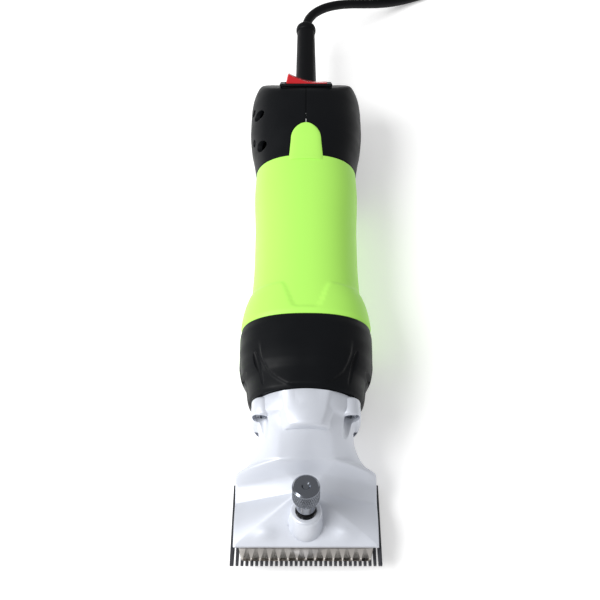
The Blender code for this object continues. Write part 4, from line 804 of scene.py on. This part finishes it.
class SHEARS_OT_housing(ShearsOperator, bpy.types.Operator):
    """Adds the green motor housing with its grip pads and its tongue"""

    bl_idname = "shears.housing"
    bl_label = "Motor housing"

    def make(self):
        wall = sizes().wall
        outer, inner = [], []
        for back in steps_between(HOUSING_FRONT, HOUSING_REAR, 0.8):
            outline = []
            for across, up in oval(*flowing(HOUSING_STATIONS, back), 176):
                edge = HOUSING_FRONT + 4 + 15.5 * ramp(5.5, 13, abs(across))
                pad = (1 - ramp(edge - 0.9, edge + 0.9, back)) * ramp(-6, 2, up)
                pad *= ramp(HOUSING_FRONT, HOUSING_FRONT + 2.5, back)
                length = math.hypot(across, up)
                stretch = 1 + sizes().pad_rise * pad / length
                outline.append((across * stretch, up * stretch))
            outer.append(hoop(back, outline))
        for back in steps_between(HOUSING_FRONT, HOUSING_REAR, 4):
            inner.append(hoop(back, inward(oval(*flowing(HOUSING_STATIONS, back), 176), wall)))
        housing = rolled("housing", outer + inner[::-1] + outer[:1], cap=False)
        tongue = tongue_piece("tongue", 0.0, sizes().tongue_stand, 2.8)
        shape_with(housing, [tongue], "UNION")
        soften(housing, 0.35)
        settle(housing, "green_housing", "root", FINISHES["green_shell"], "motor_housing")


def softly_under(value, ceiling, rounding=1.1):
    """A value held under a ceiling, with the corner between them rounded."""
    if ceiling - value > 12 * rounding:
        return value
    return -rounding * math.log(math.exp(-value / rounding) + math.exp(-ceiling / rounding))


def cover_ring(back, inset):
    """An outline of the rear cover under its sloping face, drawn in by a wall."""
    ceiling = SLOPE_UP - (back - SLOPE_BACK) - inset * math.sqrt(2)
    outline = inward(oval(*flowing(COVER_STATIONS, back), 176), inset) if inset else oval(
        *flowing(COVER_STATIONS, back), 176
    )
    return [(across, softly_under(up, ceiling)) for across, up in outline]


class SHEARS_OT_rear_covers(ShearsOperator, bpy.types.Operator):
    """Adds the two halves of the rear cover, with the vents and the screw wells"""

    bl_idname = "shears.rear_covers"
    bl_label = "Rear covers"

    def make(self):
        wall = sizes().wall
        hole = 7.4
        rings = [
            hoop(back, cover_ring(back, 0)) for back in steps_between(COVER_FRONT, COVER_REAR - 1.4, 1.1)
        ]
        rim = cover_ring(COVER_REAR - 0.4, 0)
        rings.append(hoop(COVER_REAR - 0.4, inward(rim, 0.45)))
        rings.append(hoop(COVER_REAR, inward(rim, 1.5)))
        face = inward(rim, 1.5)
        circle = []
        for across, up in face:
            away = Vector((across, up + RELIEF_DROP)).normalized() * hole
            circle.append((away.x, away.y - RELIEF_DROP))
        for share in (0.35, 0.7, 1.0):
            rings.append(hoop(COVER_REAR, [
                (a[0] + (b[0] - a[0]) * share, a[1] + (b[1] - a[1]) * share) for a, b in zip(face, circle)
            ]))
        rings.append(hoop(COVER_REAR - wall, circle))
        inner = [
            hoop(back, cover_ring(back, wall)) for back in steps_between(COVER_FRONT, COVER_REAR - wall, 3)
        ]
        shell = rolled("rear_cover", rings + inner[::-1] + rings[:1], cap=False)
        cutters = [tongue_piece("tongue_gap", sizes().seam, 5, 14)]
        cutters.append(slab("switch_gap", (-14.3, -10.8, -7), (14.3, 10.8, 9), SLOPE))
        for side in (-1, 1):
            for i in range(sizes().vents):
                back = COVER_FRONT + 21 + i * 5.0
                spot = Matrix.Translation(at(side * 34, back, -4))
                cutters.append(slab("vent", (-7, -0.9, -9), (7, 0.9, 9), spot, 0.8))
        for back, up in COVER_SCREWS:
            well = turned_to(back, up, -28, "right")
            cutters.append(drum("screw_well", 3.4, -8, 7.8, well))
            cutters.append(
                bead("well_lead_in", (2.2, 2.6, 2.2), Matrix.Translation(at(-31.2, back + 6.2, up - 5.0)))
            )
        shape_with(shell, cutters, "DIFFERENCE")
        for side, hand in ((-1, "left"), (1, "right")):
            half = shell.copy()
            half.data = shell.data.copy()
            bpy.context.scene.collection.objects.link(half)
            spans = (-60, -sizes().seam / 2) if side < 0 else (sizes().seam / 2, 60)
            keep = slab(
                "half", (spans[0], -60, -60), (spans[1], 160, 60), Matrix.Translation(at(0, COVER_FRONT, 0))
            )
            shape_with(half, [keep], "INTERSECT")
            soften(half, 0.35)
            settle(
                half, f"cover_{hand}", "root", FINISHES["black_plastic"],
                f"rear_cover_{hand}"
            )
        bpy.data.objects.remove(shell)


# Half width of the collar's central plateau at places back along it
PLATEAU = (
    (COLLAR_FRONT + 1.0, 6.0), (COLLAR_FRONT + 2.2, 9.5), (COLLAR_FRONT + 6.0, 15.0),
    (COLLAR_FRONT + 11.0, 19.5), (COLLAR_FRONT + 22.5, 23.6), (COLLAR_REAR, 25.0),
)


class SHEARS_OT_collar(ShearsOperator, bpy.types.Operator):
    """Adds the black collar with its plateau and its two deep slots"""

    bl_idname = "shears.collar"
    bl_label = "Gear collar"

    def make(self):
        rings = []
        for back in steps_between(COLLAR_FRONT, COLLAR_REAR, 0.6):
            half_width, above, below = flowing(COLLAR_STATIONS, back)
            plateau = flowing(PLATEAU, max(back, PLATEAU[0][0]))[0]
            outline = []
            for across, up in oval(half_width, above, below, 208):
                raised = (1 - ramp(plateau - 0.7, plateau + 0.7, abs(across))) * ramp(0, 4, up)
                raised *= 1 - ramp(COLLAR_FRONT + 22, COLLAR_FRONT + 30, back)
                raised *= ramp(COLLAR_FRONT + 0.8, COLLAR_FRONT + 2.4, back)
                sunk = ramp(0, 4, up) * (1 - ramp(COLLAR_FRONT + 22, COLLAR_FRONT + 30, back)) * 0.7
                rise = 0.9 * raised - sunk
                length = math.hypot(across, up)
                outline.append((across * (1 + rise / length), up * (1 + rise / length)))
            rings.append(hoop(back, outline))
        for back in steps_between(COLLAR_REAR, COLLAR_FRONT + 13.5, 3):
            rings.append(hoop(back, inward(oval(*flowing(COLLAR_STATIONS, back), 208), sizes().wall)))
        for back in steps_between(COLLAR_FRONT + 12.5, COLLAR_FRONT, 3):
            rings.append(hoop(back, oval(17.5, 15.5, 27.0, 208, fullness=5)))
        collar = rolled("collar", rings + rings[:1], cap=False)
        cutters = []
        for side in (-1, 1):
            lean = Matrix.Rotation(side * math.radians(-14.5), 4, "Z") @ Matrix.Rotation(
                side * math.radians(35), 4, "Y"
            )
            spot = Matrix.Translation(at(side * 24.6, COLLAR_FRONT + 13.0, 19.6)) @ lean
            cutters.append(bead("slot", (2.2, 12.0, 1.9), spot))
            notch = Matrix.Translation(at(side * 35.5, COLLAR_FRONT + 15.5, 4)) @ Matrix.Rotation(
                side * math.radians(24), 4, "Z"
            )
            cutters.append(slab("notch", (-5, -1.3, -9), (5, 1.3, 12), notch, 0.9))
            for up in HEAD_SCREW_UPS:
                hole = turned_to(COLLAR_FRONT, up, side * HEAD_SCREW_ACROSS)
                cutters.append(drum("tapping", 2.3, -1, 10, hole, steps=24))
        shape_with(collar, cutters, "DIFFERENCE")
        soften(collar, 0.4)
        settle(collar, "black_collar", "root", FINISHES["black_plastic"], "gear_collar")


NECK_BACK = 66.5
NECK_HALF_WIDTH = 24.4
FLANGE_FRONT = HEAD_REAR - FLANGE_THICK
PEAK = PLATE_SIDE + FACET_RISE
FACET_BACK = PLATE_EDGE + FACET_DEPTH
HEEL = 46.0


def casting_stations():
    """Sections of the casting: a low and a high point, half width, where the side wall starts and ends
    as shares of the height, half width of the ridge, and how far the section has turned round."""
    sole = CUTTER_SOLE
    wide = HEAD_HALF_WIDTH
    neck = NECK_HALF_WIDTH
    rows = (
        (head_point(PLATE_EDGE, sole), head_point(PLATE_EDGE, 8.5), wide, 0, 0.9, 35.4, 0),
        (head_point(PLATE_EDGE + 1, sole), head_point(PLATE_EDGE + 1, 9), wide, 0, 0.97, 35.4, 0),
        (head_point(FACET_BACK, sole), head_point(FACET_BACK, PEAK), wide, 0, 0.29, 3, 0),
        (head_point(FACET_BACK + 7, sole), head_point(FACET_BACK + 6, PEAK + 4.6), wide, 0, 0.34, 6, 0.22),
        (head_point(HEEL - 2, sole), head_point(HEEL - 6, PEAK + 13.5), wide - 0.2, 0.02, 0.4, 9, 0.5),
        ((NECK_BACK - 15.5, -30.4), (NECK_BACK - 18, 5.6), neck + 6.0, 0.04, 0.44, 11, 0.62),
        ((NECK_BACK - 10, -29.4), (NECK_BACK - 13, 12), neck + 1.9, 0.1, 0.5, 12, 0.75),
        ((NECK_BACK - 5, -28.6), (NECK_BACK - 8.5, 17.5), neck + 0.2, 0.2, 0.6, 12, 0.85),
        ((NECK_BACK, -28.6), (NECK_BACK - 5, 20.6), neck, 0.3, 0.6, 14, 0.95),
        ((FLANGE_FRONT - 3.4, -28.6), (FLANGE_FRONT - 4.4, 22.2), neck + 0.4, 0.3, 0.6, 14, 1),
    )
    return [(i, *low, *high, *rest) for i, (low, high, *rest) in enumerate(rows)]


def casting_ring(values):
    """One section of the casting, on the slanted plane through its low and high points."""
    low_back, low_up, high_back, high_up, half_width, side_low, side_high, ridge, roundness = values
    corners = [(0.0, 0.0), (1.0, side_low), (1.0, side_high), (ridge / half_width, 1.0), (0.0, 1.0)]
    angles = [math.radians(turn) for turn in (-90, -42, 4, 58, 90)]
    half = []
    for group, count in enumerate((8, 10, 18, 10)):
        for i in range(count):
            share = i / count
            flat = [a + (b - a) * share for a, b in zip(corners[group], corners[group + 1])]
            angle = angles[group] + (angles[group + 1] - angles[group]) * share
            belly = 0.72 if angle < 0 else 1.0
            rise = math.copysign(abs(math.sin(angle)) ** belly, angle)
            bend = [math.cos(angle) ** belly, 0.5 + 0.5 * rise]
            half.append([a + (b - a) * roundness for a, b in zip(flat, bend)])
    half.append([0.0, 1.0])
    outline = half + [[-x, s] for x, s in half[-2:0:-1]]
    return [
        at(x * half_width, low_back + (high_back - low_back) * s, low_up + (high_up - low_up) * s)
        for x, s in outline
    ]


def tapered(name, stations, frame_at):
    """A block skinned through four-sided sections: (along, low half width, high half width, floor, top)."""
    rings = []
    for along, low_half, high_half, floor, top in stations:
        corners = ((-low_half, floor), (low_half, floor), (high_half, top), (-high_half, top))
        rings.append([frame_at @ Vector((x, along, z)) for x, z in corners])
    return rolled(name, rings)


class SHEARS_OT_casting(ShearsOperator, bpy.types.Operator):
    """Adds the silver head casting with its facet, its boss and its screw pockets"""

    bl_idname = "shears.casting"
    bl_label = "Head casting"

    def make(self):
        casting = self.body()
        head = head_frame(0)
        knob = head_frame(KNOB_ALONG)
        boss = [
            (0, 9), (9.2, 9), (9.0, 13.4), (8.7, 15.6), (8.4, 17.6), (8.2, 19.6), (8.1, 21.4), (8.0, 22.6)
        ]
        boss += [(7.9, 23.6), (7.4, 24.2), (6.9, 24.5), (0, 24.5)]
        added = [lathe("boss", boss, knob, 72)]
        band = (
            (FLANGE_FRONT - 11.9, 12.2, 21.4), (FLANGE_FRONT - 11.5, 12.8, 22.3), (
                FLANGE_FRONT - 10.7, 13.4, 22.9
            ),
            (FLANGE_FRONT - 9.2, 14.0, 23.3), (FLANGE_FRONT - 3, 17.0, 23.8), (HEAD_REAR - 0.6, 19.4, 23.8),
        )
        added.append(rolled("band", [
            casting_ring((back, -4, back, above, half, 0.3, 0.6, half * 0.7, 0.62))
            for back, half, above in band
        ]))
        for side in (-1, 1):
            lobe = turned_to(FLANGE_FRONT - 3.4, HEAD_SCREW_UPS[0] - 0.6, side * (HEAD_SCREW_ACROSS - 1.4))
            added.append(drum("lobe", 6.4, 0, 3.4 + FLANGE_THICK - 0.5, lobe, 1.8))
        shape_with(casting, added, "UNION")
        shape_with(casting, self.hollows(head, knob), "DIFFERENCE")
        soften(casting, 0.5, segments=3, angle=40)
        settle(
            casting, "silver_casting", "root", FINISHES["cast_aluminium"], "head_casting",
            50
        )

    def plate_height(self, along):
        return PLATE_SIDE + FACET_RISE * (along - PLATE_EDGE) / FACET_DEPTH

    def body(self):
        stations = casting_stations()
        rings = []
        for place in [0, 0.5] + [1 + i / 18 for i in range(18)]:
            first = int(place)
            a, b = stations[first], stations[first + 1]
            rings.append(casting_ring([m + (n - m) * (place - first) for m, n in zip(a[1:], b[1:])]))
        for i in range(70):
            rings.append(casting_ring(flowing(stations[2:], 2 + i / 10)))
        for back, half, above in (
            (FLANGE_FRONT - 3.2, 25.2, 22.7), (FLANGE_FRONT - 2.9, 26.4, 23.0), (
                FLANGE_FRONT - 2.2, 27.4, 23.3
            ),
            (FLANGE_FRONT - 1.2, 28.1, 23.6), (FLANGE_FRONT, 28.5, 23.9), (HEAD_REAR - 4, 28.5, 24.0),
            (HEAD_REAR - 0.7, 28.5, 24.0), (HEAD_REAR - 0.1, 28.2, 23.8), (HEAD_REAR, 27.6, 23.3),
        ):
            rings.append(casting_ring((back, -28.6, back, above, half, 0.3, 0.6, 14, 1)))
        casting = rolled("casting", rings)
        for vertex in casting.data.vertices:
            away = vertex.co - in_head(12.6, self.plate_height(12.6), math.copysign(20, vertex.co.x))
            vertex.co += OVER * 1.5 * math.exp(-((away.x / 3.6) ** 2) - (away.y / 2.4) ** 2) * (away.z > -4)
        modifier = casting.modifiers.new("even", "SMOOTH")
        modifier.factor = 0.5
        modifier.iterations = 2
        return finish_modifiers(casting)

    def hollows(self, head, knob):
        """The chamber over the cutter, the fork's channel, the bores and the screw pockets."""
        back = 27.5
        inner = HEAD_HALF_WIDTH - 3.4
        chamber = []
        for along in (PLATE_EDGE + 2.5, back):
            ceiling = self.plate_height(along) - 2.5
            flat = max(HEAD_HALF_WIDTH * (FACET_BACK - along) / FACET_DEPTH - 3, 1)
            outline = [
                (-inner, -6), (inner, -6), (inner, 6.5), (flat, ceiling), (-flat, ceiling), (-inner, 6.5)
            ]
            chamber.append([head @ Vector((x, along, z)) for x, z in outline])
        tools = [rolled("chamber", chamber)]
        tools.append(slab("sweep", (-42, -5, -20), (42, 26.5, 7.3), head))
        channel = (
            (back - 3, 12, 12, -6, 14), (HEEL - 0.5, 12, 12, -6, 18), (HEEL - 0.2, 9.6, 9.6, 9.6, 18),
            (61.5, 13.9, 13.9, 9.6, 28.5), (64.1, 14.2, 14.2, 14.0, 32.6), (92.0, 14.2, 14.2, 15.0, 40),
        )
        tools.append(tapered("channel", channel, head))
        tools.append(drum("bore", 5.4, 9, 26, knob, steps=48))
        tools.append(drum("post_hole", 4.3, -1, 11, head_frame(PIVOT_ALONG)))
        tools.append(drum("post_seat", 5.6, -5, 3.6, head_frame(PIVOT_ALONG)))
        for side in (-1, 1):
            tools.append(drum("comb_tapping", 2.5, -1, 11.5, head_frame(37, 0, side * 19), steps=24))
            for up in HEAD_SCREW_UPS:
                across = side * HEAD_SCREW_ACROSS
                tools.append(drum("clearance", 2.3, -9, 9, turned_to(FLANGE_FRONT, up, across), steps=24))
                pocket = turned_to(FLANGE_FRONT, up, across, "front")
                tools.append(drum("pocket", 4.5, 0, 14, pocket, 0.6))
        return tools


class SHEARS_OT_fasteners(ShearsOperator, bpy.types.Operator):
    """Adds the screws that hold the head, the comb and the covers"""

    bl_idname = "shears.fasteners"
    bl_label = "Screws"

    def make(self):
        steel = FINISHES["bright_steel"]
        for side, hand in ((-1, "left"), (1, "right")):
            for up, level in zip(HEAD_SCREW_UPS, ("upper", "lower")):
                node = f"head_screw_{level}_{hand}"
                place = turned_to(FLANGE_FRONT - 0.3, up, side * HEAD_SCREW_ACROSS, "front")
                profile = [(0, 2.2), (1.6, 2.15), (2.5, 1.85), (3.0, 1.3), (3.2, 0.6), (3.2, 0), (2.0, 0)]
                profile += [(2.0, -16), (0, -16)]
                screw = lathe(node, profile, place, 40)
                shape_with(screw, self.cross(place, 2.2, 1.9), "DIFFERENCE")
                settle(screw, node + "_chromed", "root", FINISHES["knob_chrome"], node)
            node = f"comb_screw_{hand}"
            place = head_frame(37, 0, side * 19)
            profile = [
                (0, -2.2), (2.9, -2.2), (3.6, -1.8), (4.0, -1.2), (4.0, -0.3), (2.2, -0.3), (2.2, 10.5),
                (0, 10.5)
            ]
            screw = lathe(node, profile, place, 40)
            shape_with(screw, [slab("slot", (-5, -0.5, -3), (5, 0.5, -1.0), place)], "DIFFERENCE")
            settle(screw, node + "_steel", "root", steel, node)
        for number, (back, up) in enumerate(COVER_SCREWS):
            node = f"cover_screw_{number + 1}"
            place = turned_to(back, up, 0, "right")
            profile = [
                (0, -22.6), (2.2, -22.55), (2.8, -22.1), (2.9, -21.4), (2.9, -20.5), (1.5, -20.5),
                (1.5, 12.3), (0, 12.3)
            ]
            screw = lathe(node, profile, place, 32)
            shape_with(screw, self.cross(place, -22.7, 1.7, 1), "DIFFERENCE")
            settle(screw, node + "_steel", "root", steel, node)

    def cross(self, place, face, reach, into=-1):
        """The two blades of a cross recess, sunk from a face."""
        low, high = sorted((face - into * 0.5, face + into * 1.3))
        return [
            slab("cross", (-reach, -0.35, low), (reach, 0.35, high), place),
            slab("cross", (-0.35, -reach, low), (0.35, reach, high), place),
        ]


class SHEARS_OT_blades(ShearsOperator, bpy.types.Operator):
    """Adds the comb and the cutter"""

    bl_idname = "shears.blades"
    bl_label = "Comb and cutter"

    def make(self):
        refined("comb", "comb_blade", "root", FINISHES["comb_steel"], 0.16)
        refined("cutter", "cutter_blade", "swing_fork", FINISHES["cutter_steel"], 0.06)
        refined("drive_fork", "fork_forged", "swing_fork", FINISHES["bright_steel"], 0.4)


class SHEARS_OT_tension(ShearsOperator, bpy.types.Operator):
    """Adds the knurled tension knob and its O-ring"""

    bl_idname = "shears.tension"
    bl_label = "Tension knob"

    def make(self):
        place = head_frame(KNOB_ALONG)
        grip, neck, low, top = 6.8, 4.85, 36.0, 47.0
        knurl_low, knurl_high = low + 0.9, top - 1.2
        profile = [
            (0, 20.8), (3, 20.8), (3, 28), (neck - 0.3, 28), (neck, 28.3), (neck, 32), (neck, low - 0.3)
        ]
        profile += [(neck + 0.2, low), (grip - 0.8, low), (grip - 0.2, low + 0.5)]
        knurled = [(grip, height) for height in steps_between(knurl_low, knurl_high, 0.2)]
        crown = [
            (grip - 0.1, top - 0.9), (grip - 1.0, top - 0.1), (grip - 1.4, top), (2.6, top), (2.2, top - 0.15)
        ]
        crown += [(1.5, top - 0.9), (0, top - 1.1)]
        around = sizes().knurls * 8
        rings = []
        for radius, height in profile + knurled + crown:
            ring = []
            for i in range(around):
                cut = self.knurl(i / around, height, knurl_low, knurl_high) if radius == grip else 0.0
                angle = math.tau * i / around
                ring.append(place @ Vector(
                    ((radius - cut) * math.cos(angle), (radius - cut) * math.sin(angle), height)
                ))
            rings.append(ring)
        knob = rolled("knob", rings)
        settle(
            knob, "knurled_knob", "tension_knob", FINISHES["knob_chrome"], "tension_knob", 22
        )
        section = []
        for i in range(16):
            angle = math.tau * i / 16
            section.append((4.15 + 0.85 * math.cos(angle), 25.6 + 0.8 * math.sin(angle)))
        ring = lathe("o_ring", section, place, 64, looped=True)
        settle(ring, "o_ring", "root", FINISHES["soft_rubber"], "knob_o_ring")

    def knurl(self, turn, height, low, high):
        """How deep the crossed grooves cut at a share of a turn and a height."""
        pitch = math.tau * 6.8 / sizes().knurls
        nearest = 1.0
        for lean in (-1, 1):
            wave = (turn * sizes().knurls + lean * (height - low) / pitch) % 1.0
            nearest = min(nearest, abs(2 * wave - 1))
        fade = ramp(low, low + 0.5, height) * (1 - ramp(high - 0.5, high, height))
        return sizes().knurl_depth * (1 - min(nearest * 1.5, 1.0)) * fade


class SHEARS_OT_switch(ShearsOperator, bpy.types.Operator):
    """Adds the power switch: its body with the bezel, and the red rocker"""

    bl_idname = "shears.switch"
    bl_label = "Power switch"

    def make(self):
        body = slab("switch", (-14, -10.5, -15.5), (14, 10.5, 0.6), SLOPE, 0.4)
        bezel = slab("bezel", (-15.75, -12, 0.3), (15.75, 12, 2.1), SLOPE, 0.7)
        shape_with(body, [bezel], "UNION")
        shape_with(body, [slab("well", (-12.8, -8.95, -7), (12.8, 8.95, 9), SLOPE)], "DIFFERENCE")
        soften(body, 0.25)
        settle(body, "switch_frame", "root", FINISHES["black_plastic"], "switch_body")
        tilt = JOINTS["rocker_tilt"]
        reach = 11.9
        top = []
        for i in range(25):
            across = reach * (1 - i / 12)
            top.append((across, 3.2 + 2.0 * abs(across / reach) ** 1.7))
        outline = top + [
            (-12.2, 4.4), (-12.2, 0), (-10.5, -1.5), (-4, -4.4), (4, -4.4), (10.5, -1.5), (12.2, 0),
            (12.2, 4.4)
        ]
        upright = SLOPE @ Matrix.Rotation(math.radians(90), 4, "X") @ Matrix.Rotation(
            math.radians(-12), 4, "Z"
        )
        rings = []
        for side, inset in ((-8.8, 0.35), (-8.45, 0), (-4, 0), (0, 0), (4, 0), (8.45, 0), (8.8, 0.35)):
            rings.append([
                upright @ Vector((x * (1 - inset / 12), z * (1 - inset / 6), side)) for x, z in outline
            ])
        rocker = rolled("rocker", rings)
        soften(rocker, 0.3, segments=3, angle=30)
        settle(rocker, "red_rocker", tilt["child"], FINISHES["red_plastic"], "power_rocker")


class SHEARS_OT_sleeve(ShearsOperator, bpy.types.Operator):
    """Adds the sleeve that guides the lead out of the rear cover"""

    bl_idname = "shears.sleeve"
    bl_label = "Lead sleeve"

    def make(self):
        place = turned_to(COVER_REAR, -RELIEF_DROP)
        end = REAR * 2 - COVER_REAR
        bore, base, tip = 3.45, 6.6, 5.7
        profile = [(8.5, -5.8), (8.5, -2.8), (7.0, -2.8), (7.0, 1.6), (6.9, 2.6), (6.7, 4.4), (base, 6)]
        profile += [(base - 0.3, 20), (base - 0.6, 36), (tip, end - 6.4), (tip, end - 5.2)]
        for i in range(9):
            angle = math.pi * i / 8
            profile.append((tip + 0.7 * math.sin(angle), end - 2.6 - 2.4 * math.cos(angle)))
        profile += [(bore + 0.9, end), (bore + 0.3, end - 0.2), (bore, end - 0.9), (bore, -5.8)]
        sleeve = lathe("sleeve", profile, place, 64, looped=True)
        settle(sleeve, "lead_sleeve", "root", FINISHES["soft_rubber"], "strain_relief")


class SHEARS_OT_inner_works(ShearsOperator, bpy.types.Operator):
    """Gives the motor, the gears and the other pieces inside their finishes"""

    bl_idname = "shears.inner_works"
    bl_label = "Inner works"

    def make(self):
        for entry in frame["record"]["subparts"]:
            node = frame["nodes"][entry["node"]]
            node.data.materials.clear()
            node.data.materials.append(FINISHES[entry["material_slot"]])


class SHEARS_OT_stage(ShearsOperator, bpy.types.Operator):
    """Adds the pale floor and the studio light"""

    bl_idname = "shears.stage"
    bl_label = "Stage"

    def make(self):
        bpy.ops.object.select_all(action="DESELECT")
        bpy.ops.mesh.primitive_plane_add(size=6)
        floor = bpy.context.object
        floor.name = "floor"
        floor.data.materials.append(finish_of(
            "backlit white acrylic", linear("#FAFAFA"), 0.9,
            Emission_Color=(1, 1, 1, 1), Emission_Strength=0.35
        ))
        world = bpy.data.worlds.new("studio")
        bpy.context.scene.world = world
        world.use_nodes = True
        tree = world.node_tree
        background = tree.nodes["Background"]
        background.inputs["Color"].default_value = (1, 1, 1, 1)
        background.inputs["Strength"].default_value = 0.42
        self.light("key", (-1.0, -0.35, 1.15), 0.9, 24)
        bpy.context.scene.view_settings.view_transform = "Standard"

    def light(self, name, place, size, power):
        """A square lamp of a size in metres, turned to the tool."""
        bpy.ops.object.light_add(type="AREA", location=place)
        lamp = bpy.context.object
        lamp.name = name
        lamp.data.size = size
        lamp.data.energy = power
        lamp.rotation_euler = (Vector((0, 0, 0.03)) - Vector(place)).to_track_quat("-Z", "Y").to_euler()


class SHEARS_PT_panel(bpy.types.Panel):
    """The pieces, in the order that they are made"""

    bl_label = "Sheep shears"
    bl_idname = "SHEARS_PT_panel"
    bl_space_type = "VIEW_3D"
    bl_region_type = "UI"
    bl_category = "Shears"

    def draw(self, context):
        for maker in MAKERS:
            self.layout.operator(maker.bl_idname)
        for group in (context.scene.shears_sizes, context.scene.shears_colours):
            for name in group.__annotations__:
                self.layout.prop(group, name)


MAKERS = (
    SHEARS_OT_camera,
    SHEARS_OT_lead,
    SHEARS_OT_housing,
    SHEARS_OT_rear_covers,
    SHEARS_OT_collar,
    SHEARS_OT_casting,
    SHEARS_OT_fasteners,
    SHEARS_OT_blades,
    SHEARS_OT_tension,
    SHEARS_OT_switch,
    SHEARS_OT_sleeve,
    SHEARS_OT_inner_works,
    SHEARS_OT_stage,
)
CLASSES = (ShearsSizes, ShearsColours, *MAKERS, SHEARS_PT_panel)


def register():
    for made in CLASSES:
        bpy.utils.register_class(made)
    bpy.types.Scene.shears_sizes = bpy.props.PointerProperty(type=ShearsSizes)
    bpy.types.Scene.shears_colours = bpy.props.PointerProperty(type=ShearsColours)


def unregister():
    del bpy.types.Scene.shears_colours
    del bpy.types.Scene.shears_sizes
    for made in reversed(CLASSES):
        bpy.utils.unregister_class(made)


def main():
    register()
    make_finishes()
    for maker in MAKERS:
        group, name = maker.bl_idname.split(".")
        getattr(getattr(bpy.ops, group), name)()


if __name__ == "__main__":
    main()
